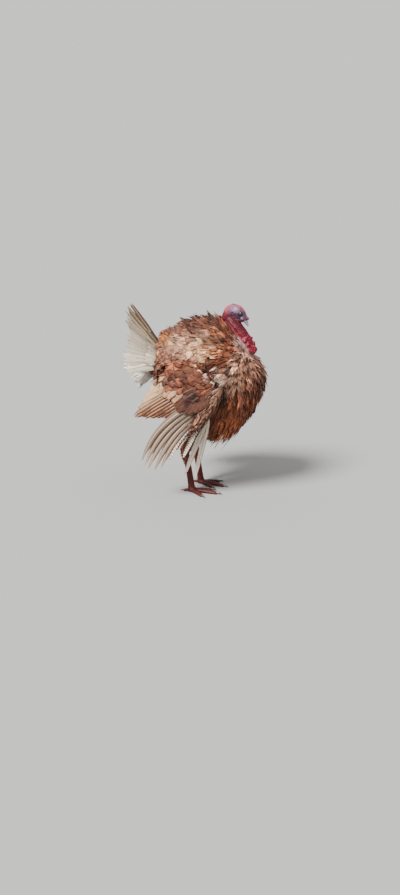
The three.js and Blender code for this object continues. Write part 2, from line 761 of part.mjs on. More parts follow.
// ---- tail ----
function tailFan(grow) {
  const root = vec(TAIL_ROOT);
  const top = vec(TAIL_TOP).normalize();
  const feathers = [];
  for (const { side, aside, spread, lengths } of TAIL_SIDES) {
    const out = vec(aside).normalize();
    const order = side === LEFT ? [...lengths.keys()].reverse() : [...lengths.keys()];
    for (const i of order) {
      const angle = rad((spread * (i + 0.5)) / (RECTRICES / 2));
      const mix = (a, b) => top.clone().multiplyScalar(a).addScaledVector(out, b).normalize();
      const direction = mix(Math.cos(angle), Math.sin(angle));
      const start = root.clone().addScaledVector(direction, TAIL_ROOT_GAP);
      const tip = root.clone().addScaledVector(direction, lengths[i]);
      const across = mix(-Math.sin(angle), Math.cos(angle)).multiplyScalar(-side);
      feathers.push(feather(start, tip, new THREE.Vector3(), across, 15));
    }
  }
  return fanGeometry(feathers, 0.8, 1, 2, grow);
}

function addTail() {
  const fan = solidOf(tailFan(0));
  addPart("tail_feathers", geometryOf(fan.subtract(trunkGrown)), LOOKS.tailCream);
  const { center, radii, turn } = UNDERTAIL;
  const under = subtractAll(ellipsoidSolid(center, radii, turn), [trunkGrown, solidOf(tailFan(SEAM))]);
  addPart("undertail_coverts", geometryOf(under), LOOKS.tailCream);
}

addHeadAndNeck();
addTrunk();
FEET.forEach(addLeg);
addWing("right");
addWing("left");
addTail();

// The origin is on the floor, under the middle of the whole bird's box.
const middle = new THREE.Box3().setFromObject(group).getCenter(new THREE.Vector3());
group.position.set(-middle.x, -middle.y, 0);

export default group;
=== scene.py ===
"""A life-size young tom turkey in half strut, as a still museum model.

Points are worked out in millimetres in the maker's frame, where the bird faces +X, its left is +Y
and the floor is z = 0, and are put into the part's frame as a mesh is made.
"""
import math

import bmesh
import bpy
import numpy as np
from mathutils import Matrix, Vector, kdtree
from mathutils.bvhtree import BVHTree


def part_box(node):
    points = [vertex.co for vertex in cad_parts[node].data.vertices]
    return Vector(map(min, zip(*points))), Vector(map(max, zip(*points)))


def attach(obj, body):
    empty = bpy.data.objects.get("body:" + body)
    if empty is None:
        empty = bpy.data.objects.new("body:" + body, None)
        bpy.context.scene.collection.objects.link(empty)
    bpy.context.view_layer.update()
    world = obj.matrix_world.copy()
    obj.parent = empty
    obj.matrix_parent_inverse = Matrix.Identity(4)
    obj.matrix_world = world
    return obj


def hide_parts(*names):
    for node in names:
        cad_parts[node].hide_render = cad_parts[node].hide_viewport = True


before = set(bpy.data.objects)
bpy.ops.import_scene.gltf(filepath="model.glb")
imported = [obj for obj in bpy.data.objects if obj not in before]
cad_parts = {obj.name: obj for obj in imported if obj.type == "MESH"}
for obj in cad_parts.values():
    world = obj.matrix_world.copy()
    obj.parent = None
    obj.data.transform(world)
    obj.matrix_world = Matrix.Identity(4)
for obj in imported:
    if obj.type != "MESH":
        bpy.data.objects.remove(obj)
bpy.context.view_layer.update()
rng = np.random.default_rng(7)


# ---------------- sizes, in millimetres, and the nodes of the part
MM = 0.001
HEAD_AT = np.array([159.0, 0.0, 610.0])  # origin of the head's own frame, in the maker's frame
HEAD_PITCH = math.radians(33)
FORWARD = np.array([math.cos(HEAD_PITCH), 0, -math.sin(HEAD_PITCH)])
UPWARD = np.array([math.sin(HEAD_PITCH), 0, math.cos(HEAD_PITCH)])
ACROSS = np.array([0.0, 1.0, 0.0])
EYE_X, EYE_Y, EYE_Z = 3.5, 12.4, -0.5  # the left eye in the head's frame; the right one is at -EYE_Y
EYE_RADIUS = 5.6
PUPIL, IRIS = 26, 44  # degrees from the middle of the gaze to the edge of each
EAR_X, EAR_Z = -19.0, -12.5  # in the head's frame
LID_HALF = (5.2, 4.2)  # half width and half height of the opening between the lids
NECK_FOOT = np.array([180.0, 0.0, 502.0])  # where the neck comes out of the body feathers
BODY_AXIS = 380  # height of the line the coat's bake map is unwrapped round
NECK_REACH = 170  # how far the feathers still spread away from the neck's foot
VOXEL = 3.2  # size of the skin's faces, before those of the bare parts are cut finer
FINE_VOXEL = 0.9  # the same for bill and claws
FATTEN = 0.6  # closes the thin gaps between the flesh nodes before they are made one
WELD = 1e-5  # metres within which a CAD node's corners are one
COVERED_SHARE = 0.8  # share of the skin's faces that stays where feathers hide it
BRIGHTEST = 0.8  # linear value of the palest body feather
WHITEST = 0.95  # the same for flight feathers and loose barbs
CLEARANCE = 1.0  # how high feathers stay above the floor

SIDES = ("right", "left")
TOES = ("inner", "middle", "outer", "hind")
HEAD_NODES = ["head", "neck", "caruncles", "snood"]
LEG_NODES = [f"{part}_{side}" for side in SIDES for part in ("shank", "foot")]
LEG_NODES += [f"toe_{side}_{toe}" for side in SIDES for toe in TOES]
BARE_NODES = HEAD_NODES + LEG_NODES
TRUNK_NODES = ["breast", "rump", "back", "belly"]
THIGH_NODES = [f"thigh_{side}" for side in SIDES]
WING_NODES = [f"wing_{side}_{part}" for side in SIDES for part in ("coverts", "hand")]
COVERT_NODES = [f"wing_{side}_coverts" for side in SIDES]
HAND_NODES = [f"wing_{side}_hand" for side in SIDES]
FLESH_NODES = BARE_NODES + TRUNK_NODES + THIGH_NODES + WING_NODES + ["undertail_coverts"]


def eye_middle_in_frame():
    low_right, high_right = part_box("eye_right")
    low_left, high_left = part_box("eye_left")
    return np.array(low_right + high_right + low_left + high_left) / 4


# the maker's origin in the part's frame
ORIGIN = eye_middle_in_frame() - (HEAD_AT + EYE_X * FORWARD + EYE_Z * UPWARD) * MM


def to_frame(points):
    return np.asarray(points) * MM + ORIGIN


def to_maker(points):
    return (np.asarray(points) - ORIGIN) / MM


def in_head(points):
    rel = points - HEAD_AT
    return np.stack([rel @ FORWARD, rel @ ACROSS, rel @ UPWARD], -1)


def from_head(local):
    local = np.asarray(local, float)
    return HEAD_AT + local[..., :1] * FORWARD + local[..., 1:2] * ACROSS + local[..., 2:] * UPWARD


# ---------------- camera, light, floor and materials
CAMERA_AT = (639.1, -1705.3, 612.6)
CAMERA_TILT = 75.6  # degrees up from looking straight down
CAMERA_TURN = 20.0  # degrees from facing +Y towards -X
CAMERA_LENS = 21.2
SUN_FROM = (-0.30, -0.66, 0.69)
SUN_POWER = 9.6
SUN_WIDTH = 20  # degrees, for soft shadows
SKY = 0.95  # brightness of the backdrop all round
SKY_TINT = np.array([1.0, 0.99, 0.975])


def linear(hex_colour):
    """sRGB hex to linear red, green and blue."""
    parts = [int(hex_colour[i:i + 2], 16) / 255 for i in (1, 3, 5)]
    return tuple(c / 12.92 if c <= 0.04045 else ((c + 0.055) / 1.055) ** 2.4 for c in parts)


def add_object(name, data):
    ob = bpy.data.objects.new(name, data)
    bpy.context.collection.objects.link(ob)
    return ob


class Look:
    """A material in the making. Every input of its nodes takes a socket or a plain value."""

    def __init__(self, name):
        self.made = bpy.data.materials.new(name)
        self.made.use_nodes = True
        self.tree = self.made.node_tree
        self.tree.nodes.clear()
        self.shader = self.add("BsdfPrincipled")
        self.add("OutputMaterial", {"Surface": self.shader.outputs[0]})

    def fill(self, node, inputs):
        for key, value in inputs.items():
            if isinstance(value, bpy.types.NodeSocket):
                self.tree.links.new(value, node.inputs[key])
            else:
                node.inputs[key].default_value = value

    def add(self, kind, inputs=None, **settings):
        node = self.tree.nodes.new("ShaderNode" + kind)
        for key, value in settings.items():
            setattr(node, key, value)
        self.fill(node, inputs or {})
        return node

    def surface(self, inputs):
        """Gives the surface these inputs, and the finished material back."""
        self.fill(self.shader, inputs)
        return self.made

    def maths(self, operation, *values):
        return self.add("Math", dict(enumerate(values)), operation=operation).outputs[0]

    def noise(self, scale, detail, **more):
        return self.add("TexNoise", {"Scale": scale, "Detail": detail, **more}).outputs[0]

    def span(self, value, low, high, to_low=0.0, to_high=1.0, kind="LINEAR"):
        inputs = {"Value": value, "From Min": low, "From Max": high, "To Min": to_low, "To Max": to_high}
        return self.add("MapRange", inputs, interpolation_type=kind).outputs[0]

    def smooth_span(self, *values):
        return self.span(*values, kind="SMOOTHSTEP")

    def mix(self, first, second, share=1.0, kind="MIX"):
        inputs = {"Factor": share, "A": first, "B": second}
        return self.add("Mix", inputs, data_type="RGBA", blend_type=kind).outputs[2]

    def times(self, colour, factor):
        return self.mix(colour, factor, kind="MULTIPLY")

    def ramp(self, value, *stops):
        node = self.add("ValToRGB", {0: value})
        for element, (place, colour) in zip(node.color_ramp.elements, stops):
            element.position = place
            element.color = (*colour, 1)
        return node.outputs[0]

    def bump(self, height, strength, distance):
        return self.add("Bump", {"Strength": strength, "Distance": distance, "Height": height}).outputs[0]

    def layer(self, name):
        """The colour of a colour layer, and its alpha."""
        return self.add("VertexColor", layer_name=name).outputs

    def mapped(self, name):
        """The two coordinates of a UV map."""
        return self.add("SeparateXYZ", {0: self.add("UVMap", uv_map=name).outputs[0]}).outputs

    def place(self):
        return self.add("TexCoord").outputs["Object"]


def build_studio():
    camera = add_object("camera", bpy.data.cameras.new("camera"))
    camera.data.lens = CAMERA_LENS
    camera.data.sensor_width = 36
    camera.data.clip_end = 200
    camera.location = Vector(to_frame(CAMERA_AT))
    camera.rotation_euler = (math.radians(CAMERA_TILT), 0, math.radians(CAMERA_TURN))
    bpy.context.scene.camera = camera

    sun = add_object("sun", bpy.data.lights.new("sun", "SUN"))
    sun.data.energy = SUN_POWER
    sun.data.angle = math.radians(SUN_WIDTH)
    sun.rotation_euler = Vector(SUN_FROM).to_track_quat("Z", "Y").to_euler()

    world = bpy.data.worlds.new("studio")
    world.use_nodes = True
    bpy.context.scene.world = world
    backdrop = world.node_tree.nodes["Background"]
    backdrop.inputs[0].default_value = (*SKY_TINT, 1)
    backdrop.inputs[1].default_value = SKY

    bpy.ops.mesh.primitive_plane_add(size=120, location=(0, 0, 0))
    floor = bpy.context.object
    floor.name = "floor"
    # under this light a floor of this grey is as bright as the backdrop
    grey = SKY / (SUN_POWER * SUN_FROM[2] / math.pi + SKY)
    look = Look("studio_floor")
    colour = look.ramp(look.noise(14.0, 3.0), (0, grey * 0.97 * SKY_TINT), (1, grey * 1.03 * SKY_TINT))
    floor.data.materials.append(look.surface({
        "Base Color": colour, "Roughness": 1.0, "Specular IOR Level": 0.0}))


# ---------------- mesh helpers
def deselect():
    for ob in bpy.context.selected_objects:
        ob.select_set(False)


def apply_modifier(ob, kind, **settings):
    deselect()
    ob.select_set(True)
    bpy.context.view_layer.objects.active = ob
    made = ob.modifiers.new(kind.lower(), kind)
    for key, value in settings.items():
        setattr(made, key, value)
    bpy.ops.object.modifier_apply(modifier=made.name)


def dress(ob, look):
    """Gives a piece smooth shading and its one material."""
    ob.data.shade_smooth()
    ob.data.materials.clear()
    ob.data.materials.append(look)


def smoothstep(low, high, x):
    t = np.clip((x - low) / (high - low), 0, 1)
    return t * t * (3 - 2 * t)


def bell(x, width):
    return np.exp(-((x / width) ** 2))


def unit(v):
    return v / np.maximum(np.linalg.norm(v, axis=-1, keepdims=True), 1e-9)


def square_to(n, v):
    """What is left of v when its part along n is taken away."""
    return v - n * (v * n).sum(-1, keepdims=True)


def dimmed(colours):
    """Brings colours that are too bright for any feather down to the brightest, with their hue."""
    return colours * np.minimum(1, BRIGHTEST / colours.max(axis=1, keepdims=True))


def read(items, key, width, kind=np.float32):
    out = np.empty(len(items) * width, kind)
    items.foreach_get(key, out)
    return out.reshape(-1, width)


def mesh_points(mesh):
    return read(mesh.vertices, "co", 3).astype(float)


def mesh_edges(mesh):
    return read(mesh.edges, "vertices", 2, np.int32)


def mesh_normals(mesh):
    mesh.update()
    return read(mesh.vertex_normals, "vector", 3).astype(float)


def set_points(mesh, points):
    mesh.vertices.foreach_set("co", points.astype(np.float32).ravel())
    mesh.update()


def add_colours(mesh, name, values):
    """A colour layer from one, three or four channels for every point."""
    values = values.reshape(len(values), -1)
    full = np.ones((len(values), 4), np.float32)
    full[:, :max(3, values.shape[1])] = values
    mesh.color_attributes.new(name, "FLOAT_COLOR", "POINT").data.foreach_set("color", full.ravel())


def neighbour_mean(values, edges):
    """The mean of each vertex's neighbours, for an array of one or more columns."""
    count = len(values)
    a, b = edges[:, 0], edges[:, 1]
    total = np.bincount(a, minlength=count) + np.bincount(b, minlength=count)
    flat = values.reshape(count, -1)
    out = np.empty_like(flat, dtype=float)
    for c in range(flat.shape[1]):
        out[:, c] = np.bincount(a, flat[b, c], count) + np.bincount(b, flat[a, c], count)
    return (out / np.maximum(total, 1)[:, None]).reshape(values.shape)


def blurred(values, edges, times):
    for _ in range(times):
        values = 0.5 * values + 0.5 * neighbour_mean(values, edges)
    return values


def relaxed(points, edges, times, share=1.0):
    """Smooths points and gives back what that takes off their bulk. Share is how much each moves."""
    share = np.reshape(share, (-1, 1))
    for _ in range(times):
        for push in (0.5, -0.53):
            points = points + share * push * (neighbour_mean(points, edges) - points)
    return points


def tree_of(points):
    tree = kdtree.KDTree(len(points))
    for i, p in enumerate(points):
        tree.insert(p, i)
    tree.balance()
    return tree


def nearest_index(tree, points):
    return np.array([tree.find(p)[1] for p in points.reshape(-1, 3)]).reshape(points.shape[:-1])


# ---------------- the skin
def merged_copy(names, grow=0.0):
    """The CAD nodes of these names as one loose mesh, each merged and grown a little."""
    whole = bmesh.new()
    for name in names:
        part = bmesh.new()
        part.from_mesh(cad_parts[name].data)
        bmesh.ops.remove_doubles(part, verts=part.verts, dist=WELD)
        part.normal_update()
        for v in part.verts:
            v.co += v.normal * grow
        held = bpy.data.meshes.new("held")
        part.to_mesh(held)
        part.free()
        whole.from_mesh(held)
        bpy.data.meshes.remove(held)
    mesh = bpy.data.meshes.new("copy")
    whole.to_mesh(mesh)
    whole.free()
    return add_object("copy", mesh)


def nearest_nodes(points):
    """The index in FLESH_NODES of the flesh node nearest each point, in the maker's frame."""
    verts, faces, owner = [], [], []
    for k, name in enumerate(FLESH_NODES):
        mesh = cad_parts[name].data
        start = len(verts)
        verts.extend(to_maker(mesh_points(mesh)))
        mesh.calc_loop_triangles()
        for tri in mesh.loop_triangles:
            faces.append([start + i for i in tri.vertices])
            owner.append(k)
    bvh = BVHTree.FromPolygons([Vector(v) for v in verts], faces)
    return np.array([owner[bvh.find_nearest(Vector(p))[2]] for p in points])


def belongs(owners, names):
    return np.isin(owners, [FLESH_NODES.index(n) for n in names])


def share_of(owners, edges, names, times):
    """How much each point belongs to these nodes, blurred this many times."""
    return blurred(belongs(owners, names).astype(float), edges, times)


def refine(mesh, keep, cuts):
    """Cuts every face whose corners are all kept into smaller ones."""
    bm = bmesh.new()
    bm.from_mesh(mesh)
    bm.verts.ensure_lookup_table()
    edges = [e for e in bm.edges if keep[e.verts[0].index] and keep[e.verts[1].index]]
    bmesh.ops.subdivide_edges(bm, edges=edges, cuts=cuts, use_grid_fill=True)
    bmesh.ops.triangulate(bm, faces=[f for f in bm.faces if len(f.verts) > 4])
    bm.to_mesh(mesh)
    bm.free()


def build_full_skin():
    """The whole outline of the bird's flesh and coat as one even, smooth, closed mesh."""
    ob = merged_copy(FLESH_NODES + ["eye_right", "eye_left"], FATTEN * MM)
    ob.name = "skin"
    apply_modifier(ob, "REMESH", mode="VOXEL", voxel_size=VOXEL * MM)
    mesh = ob.data
    points = relaxed(to_maker(mesh_points(mesh)), mesh_edges(mesh), 6)
    set_points(mesh, to_frame(points))
    for names, cuts in ((LEG_NODES, 1), (HEAD_NODES, 2)):
        refine(mesh, belongs(nearest_nodes(points), names), cuts)
        points = to_maker(mesh_points(mesh))
    owners, edges = nearest_nodes(points), mesh_edges(mesh)
    bare = share_of(owners, edges, BARE_NODES, 3)
    points = relaxed(points, edges, 8, np.minimum(bare * 2, 1))
    points = relaxed(points, edges, 40, share_of(owners, edges, ["head", "neck"], 4))
    set_points(mesh, to_frame(points))
    return ob, points, owners, edges


def scattered(points, gap, allowed):
    """Indices of allowed points picked in turn so that no two are nearer than the gap at the first."""
    gap = np.broadcast_to(gap, len(points))
    chosen = []
    order = rng.permutation(len(points))
    alive = np.ones(len(points), bool)
    tree = tree_of(points)
    for i in order[allowed[order]]:
        if not alive[i]:
            continue
        chosen.append(i)
        for _, j, _ in tree.find_range(points[i], gap[i]):
            alive[j] = False
    return np.array(chosen)


def lumps(points, where, gap, height):
    """Rounded lumps as on bare turkey skin: how far each point stands out, and its share of that."""
    seeds = points[scattered(points, gap, where > 0.5)]
    tree = tree_of(seeds)
    out = np.zeros(len(points))
    for i in np.flatnonzero(where > 0.02):  # the sines make each lump's size and height its own
        _, j, d = tree.find(points[i])
        size = gap * (0.8 + 0.35 * math.sin(37.0 * j))
        out[i] = (0.7 + 0.5 * math.sin(11.0 * j + 1)) * max(0.0, 1 - (d / size) ** 2)
    return out * where * height, out * where


def throat_line(z):
    """Where the middle of the neck lies at this height."""
    return np.interp(z, (490, 515, 539.5, 565, 585, 606), (190, 180.5, 165, 144.5, 126, 116))


def shape_head(coat, points):
    """Lids, brow, ears, mouth, folds and lumps of the head and neck. Gives the lumps' relief too."""
    on_head = coat.share(["head"], 4)
    out = np.zeros(len(points))
    x, y, z = in_head(points).T
    ex, ez = x - EYE_X, z - EYE_Z
    r = np.hypot(ex, ez)
    for side in (-1, 1):
        near = on_head * (side * y > 4)
        # round the eye a raised lid, then fine folds, and the brow over it
        out += near * 1.5 * bell(r - 5.6, 1.7)
        folds = np.sin((r - 7.2) * 2 * math.pi / 2.3)
        out += near * 0.28 * folds * smoothstep(6.6, 7.6, r) * np.exp(-((r - 7.0) / 3.2).clip(0) ** 2)
        out += near * 0.8 * np.exp(-(((ex - 0.5) / 8.0) ** 2) - ((ez - 7.4) / 2.4) ** 2)
        # the ear, a shallow dent with a raised rim round it
        ear = np.hypot(x - EAR_X, (z - EAR_Z) * 0.8)
        out -= near * 1.6 * bell(ear, 2.8)
        out += near * 0.7 * bell(ear - 5.0, 1.6)
        # the cleft of the mouth runs back from between the halves of the bill
        cleft = np.abs(z + 14.6 + 0.22 * (24.0 - x))
        out -= near * 1.3 * bell(cleft, 0.9) * smoothstep(4.0, 9.0, x)
        out += near * 0.6 * bell(cleft - 2.2, 1.1) * smoothstep(2.0, 8.0, x)
        # a fold from the cleft down over the jaw to the throat
        jaw = np.abs((z + 22.0) - 0.55 * (x + 2.0))
        out -= near * 0.7 * bell(jaw, 1.4) * smoothstep(-26.0, -14.0, x)
    relief = np.zeros(len(points))
    low_neck = smoothstep(590, 535, points[:, 2])
    for name, blur, gap, height in (("head", 4, 3.4, 0.5), ("neck", 6, 5.0, 1.2), ("caruncles", 6, 6.0, 2.0)):
        raised, share = lumps(points, coat.share([name], blur), gap, height)
        if name == "neck":  # smoother just under the head
            share = share * (0.45 + 0.55 * low_neck)
            raised = raised * (0.35 + 0.65 * low_neck)
        out += raised
        relief = np.maximum(relief, share)
    out += coat.share(["snood"], 2) * 0.35 * np.sin(x * 2 * math.pi / 2.6)
    # loose skin hangs in long folds down the neck
    turn = np.arctan2(points[:, 1], points[:, 0] - throat_line(points[:, 2]))
    out += coat.share(["neck"], 8) * 0.5 * np.sin(turn * 9 + 0.05 * points[:, 2])
    points = points + coat.normals * out[:, None]
    # the opening between the lids: the skin goes down behind the eyeball, with a clean edge
    local = in_head(points)
    x, y, z = local.T
    ex, ez = x - EYE_X, z - EYE_Z
    lean = ez + 0.12 * ex
    rho = np.hypot(ex / LID_HALF[0], lean / LID_HALF[1])
    grow = 1.02 / np.maximum(rho, 0.1)
    for side in (-1, 1):
        near = (side * y > 6) & (on_head > 0.2)
        edge = near & (rho > 0.78) & (rho < 1.02)
        local[:, 0] = np.where(edge, EYE_X + ex * grow, local[:, 0])
        local[:, 2] = np.where(edge, EYE_Z + lean * grow - 0.12 * ex * grow, local[:, 2])
        local[:, 1] = np.where(near & (rho <= 0.78), side * (EYE_Y - 1.5), local[:, 1])
    return np.where((on_head > 0.2)[:, None], from_head(local), points), relief


LEG_FILL = 1.6  # makes up for what smoothing takes off the thin legs
SCUTE = 6.0  # length of one scute on the shank
TOE_SCUTE = 5.2  # the same on the toes
FEET_AT = {"right": np.array([9.0, -57.0]), "left": np.array([7.0, 42.0])}


def shape_legs(coat, points):
    """Scutes across the front of the shanks and along the toes, and small scales elsewhere."""
    out = np.zeros(len(points))
    for side in SIDES:
        step = (points[:, 2] + 1.2 * np.sin(points[:, 0])) / SCUTE
        on_front = smoothstep(-0.35, 0.5, coat.normals[:, 0])
        out += coat.share([f"shank_{side}"], 2) * (0.7 * (step - np.floor(step)) - 0.3) * on_front
        step = np.hypot(*(points[:, :2] - FEET_AT[side]).T) / TOE_SCUTE
        on_toes = coat.share([f"toe_{side}_{toe}" for toe in TOES], 1)
        out += on_toes * (0.6 - 0.6 * (step - np.floor(step))) * smoothstep(-0.2, 0.5, coat.normals[:, 2])
    legs = coat.share(LEG_NODES, 1)
    raised, _ = lumps(points, legs, 2.6, 0.3)
    return points + coat.normals * (out + raised + LEG_FILL * legs)[:, None]


# ---------------- plumage: colours and feather sizes
# A style gives the colours of a feather's middle and rim, its length, half width and spacing, how
# far its root lies under the outline, how far its tip stands off, how ragged, drooping and pointed
# it is, how much one feather's brightness differs from the next's, and how far in its rim reaches.
USUAL = dict(
    length=54, half=11.5, gap=11, depth=13, lift=5, rag=0.07, droop=0, point=0.3, vary=0.28, rims=1.0)
STYLE_KEYS = tuple(USUAL)


def style(middle, rim, **numbers):
    return np.array([*linear(middle), *linear(rim), *{**USUAL, **numbers}.values()])


LOW_STYLE = style(
    "#6e3a22", "#340e05", length=60, half=8, gap=9.5, depth=20, lift=4, rag=0.14, droop=0.06, point=0.72,
    vary=0.45)
STYLES = {
    "back": style("#85543e", "#3f1910", lift=6),
    "rump": style("#704225", "#492714", length=58, half=20, gap=15, depth=14, lift=6, vary=0.25, rag=0.015),
    "breast": style("#744935", "#2b100a", length=56, half=10, gap=10.5, lift=6, rag=0.1, point=0.5, vary=0.6),
    "belly": LOW_STYLE,
    "thigh": style("#73432c", "#43190c", length=46, half=8, gap=9, depth=10, lift=2, rag=0.12, droop=0.1,
                   point=0.6),
    "coverts": style("#5c2e1a", "#37140a", length=52, half=21, gap=16, depth=6, rag=0.03, vary=0.45,
                     rims=1.1),
    "hand": style("#684534", "#281109", length=38, half=4.6, gap=6, depth=4, lift=1.6, rag=0.03, point=0.6,
                  vary=0.55, rims=1.3),
    "undertail": style("#ece4d8", "#d2c4b0", length=56, half=16, gap=8, depth=10, lift=4, rag=0.03,
                       droop=0.02, point=0.25, vary=0.12),
}
NODE_STYLES = {name: name for name in TRUNK_NODES}
NODE_STYLES["undertail_coverts"] = "undertail"
for names, kind in ((THIGH_NODES, "thigh"), (COVERT_NODES, "coverts"), (HAND_NODES, "hand")):
    NODE_STYLES.update(dict.fromkeys(names, kind))


def patch(at, size, turn, strength, middle, rim, nodes=TRUNK_NODES, **numbers):
    """A patch of its own style: its middle and half sizes along X and Z, turn and strength."""
    return nodes, at, size, turn, strength, style(middle, rim, **numbers)


SCALES = dict(length=52, half=9, gap=10.5, depth=11, lift=6, rag=0.08, point=0.45, vary=0.4, rims=1.4)
PATCHES = [
    # back, behind the neck: dark rust, narrow
    patch((122, 530), (40, 60), -20, 0.9, "#8a482c", "#4c1b10", half=9.5, lift=7, rag=0.09, vary=0.4,
          rims=1.2),
    # ridge of the back, buff and rust with dark tips that stand up in a ruffled line
    patch((45, 590), (95, 36), -2, 1.0, "#633422", "#240c06", length=46, half=14, gap=12, depth=12,
          lift=10, rag=0.08, vary=0.45, rims=1.6),
    # upper flank, greyish buff
    patch((55, 533), (70, 26), -4, 0.9, "#7f5c44", "#533323", length=56, half=15, gap=12, lift=6, vary=0.35),
    # shoulder, cream
    patch((66, 489), (60, 30), -6, 0.95, "#d09d75", "#794f32", length=58, half=20, gap=15, rag=0.02,
          vary=0.42),
    # white fleck above the shoulder
    patch((40, 508), (25, 13), -10, 0.9, "#f9d3b1", "#f5b390", length=52, half=18, gap=14, lift=6,
          vary=0.22, rag=0.02),
    # between shoulder and rump, duller cream with rust
    patch((6, 486), (26, 26), 0, 0.9, "#99745a", "#5e3a26", length=56, half=19, gap=15, rag=0.02, vary=0.35),
    # dark band over the wing
    patch((98, 446), (62, 20), -14, 1.0, "#5a2a15", "#381308", half=14, lift=7, vary=0.35, rims=1.2),
    # rump: pale middle, rust at the rear rim
    patch((-30, 505), (34, 30), 0, 0.9, "#b4886c", "#815943", length=58, half=22, gap=15, depth=14,
          vary=0.2, rag=0.015),
    patch((-98, 490), (20, 80), 6, 0.9, "#784428", "#421e10", length=50, half=18, gap=14, lift=7, vary=0.3,
          rag=0.03),
    # round orange fleck with a pale ring on the rump
    patch((-72, 523), (24, 20), 0, 1.0, "#996034", "#552a0c", length=44, half=16, gap=13, vary=0.1,
          rag=0.02),
    patch((-76, 519), (9, 8), 0, 1.0, "#a85a2c", "#8a4220", length=36, half=10, gap=8, vary=0.1),
    # white ruff round the foot of the neck
    patch((200, 478), (40, 15), 42, 0.9, "#f9d8cb", "#80504b", length=46, half=9, gap=9, depth=11, lift=6,
          point=0.6, vary=0.35),
    # small buff feathers right at the foot of the neck
    patch((184, 500), (48, 22), 46, 0.95, "#d9b6ac", "#835c50", length=26, half=5.5, gap=6, depth=2.5,
          lift=2.5, rag=0.06, point=0.4, vary=0.3),
    # buff scales with dark edges down the side of the upper breast, paler along its top
    patch((192, 452), (26, 66), -28, 0.85, "#96664f", "#31150f", **SCALES),
    patch((196, 476), (36, 14), 42, 0.8, "#daa18f", "#4d2c26", **SCALES),
    # smooth pale patch on the side of the breast, before the wrist
    patch((163, 440), (28, 26), 20, 1.0, "#bf8e77", "#895b49", length=50, half=13, lift=3, vary=0.2,
          rag=0.04),
    # under it a duller, browner side
    patch((162, 382), (38, 38), 10, 0.9, "#684c3c", "#3c1f15", length=56, half=9, gap=10, point=0.5,
          vary=0.35),
    # lower breast, dark rust-brown and ragged
    (TRUNK_NODES, (184, 290), (92, 70), -30, 1.0, LOW_STYLE),
    # long loose tufts along the underside
    patch((150, 238), (96, 30), -22, 0.9, "#8e4e2c", "#331007", length=74, half=8, gap=13, depth=16,
          lift=10, rag=0.16, droop=0.22, point=0.8, vary=0.5),
    # small white patch by the wrist, and in front of it near-black feathers as painted shade of a hollow
    patch((115, 408), (16, 21), 20, 1.0, "#eed2b9", "#8d6755", TRUNK_NODES + WING_NODES, length=32, half=9,
          gap=6.5, depth=5, lift=3, point=0.5, vary=0.2),
    patch((138, 411), (11, 13), 0, 1.0, "#241a18", "#120c0a", length=26, half=7, gap=8, lift=2, vary=0.1),
    # coverts: bright rust above, lower rows darker, cream ones at the rear
    patch((-20, 446), (52, 22), 8, 0.9, "#8f4d2d", "#532a17", COVERT_NODES, length=50, half=20, gap=15,
          depth=6, lift=6, vary=0.4, rag=0.03, rims=1.2),
    patch((20, 322), (110, 38), -4, 1.0, "#3b1a0d", "#210803", COVERT_NODES, length=86, half=19, gap=15,
          depth=6, lift=3, vary=0.35, rag=0.03),
    patch((-48, 378), (16, 22), 20, 1.0, "#9f7255", "#6b4027", COVERT_NODES, length=58, half=15, gap=15,
          depth=6, lift=3, vary=0.15, rag=0.03),
]
# X, Z and radius of the places that get a second layer of feathers
THIN_PLACES = ((160, 500, 52), (172, 455, 40), (112, 405, 34), (10, 405, 22), (80, 300, 26))


def plumage(points, owners):
    """The style of every point, from its flesh node and the patches over it."""
    table = np.zeros((len(FLESH_NODES), len(STYLES["back"])))
    for k, name in enumerate(FLESH_NODES):
        table[k] = STYLES[NODE_STYLES.get(name, "back")]
    out = table[owners]
    wobble = 0.14 * np.sin(points[:, 0] * 0.11 + 2) * np.sin(points[:, 2] * 0.13)
    for nodes, at, half, degrees, strength, look in PATCHES:
        turn = math.radians(degrees)
        dx = points[:, 0] - at[0]
        dz = points[:, 2] - at[1]
        u = (dx * math.cos(turn) - dz * math.sin(turn)) / half[0]
        w = (dx * math.sin(turn) + dz * math.cos(turn)) / half[1]
        share = strength * (1 - smoothstep(0.8, 1.15, np.hypot(u, w) + wobble))
        share = (share * belongs(owners, nodes))[:, None]
        out = out * (1 - share) + look * share
    return out


def lie_of_coat(points, normals, owners, edges):
    """Which way the feathers point, from the neck over the body to the tail, along the surface."""
    x, z = points[:, :1], points[:, 2:]
    far = np.linalg.norm(points - NECK_FOOT, axis=1, keepdims=True)
    near = np.exp(-far / NECK_REACH)
    lie = unit(points - NECK_FOOT) * near + np.array([-1.0, 0, -0.28]) * (1 - near) * 0.9
    lie = lie + smoothstep(500, 560, z) * np.array([-0.3, 0, 0.3])
    front = smoothstep(150, 205, x) * (1 - smoothstep(430, 480, z))
    low_front = smoothstep(105, 170, x) * (1 - smoothstep(330, 400, z))
    for share, heading in ((front, (0.3, 0, -1.0)), (low_front, (-0.18, 0, -1.0))):
        lie = lie * (1 - share) + np.array(heading) * share
    low_wing = smoothstep(400, 330, z)
    headings = {
        "coverts": np.array([-0.9, 0, -0.38]) * (1 - low_wing) + np.array([-0.62, 0, -0.8]) * low_wing,
        "hand": (-0.62, 0, -0.78), "thigh": (-0.2, 0, -1), "undertail": (-1, 0, -0.05),
        "belly": (-0.35, 0, -1),
    }
    for name, kind in NODE_STYLES.items():
        if kind in headings:
            lie = np.where(belongs(owners, [name])[:, None], headings[kind], lie)
    for _ in range(2):
        lie = blurred(square_to(normals, lie), edges, 6)
    return unit(square_to(normals, lie))


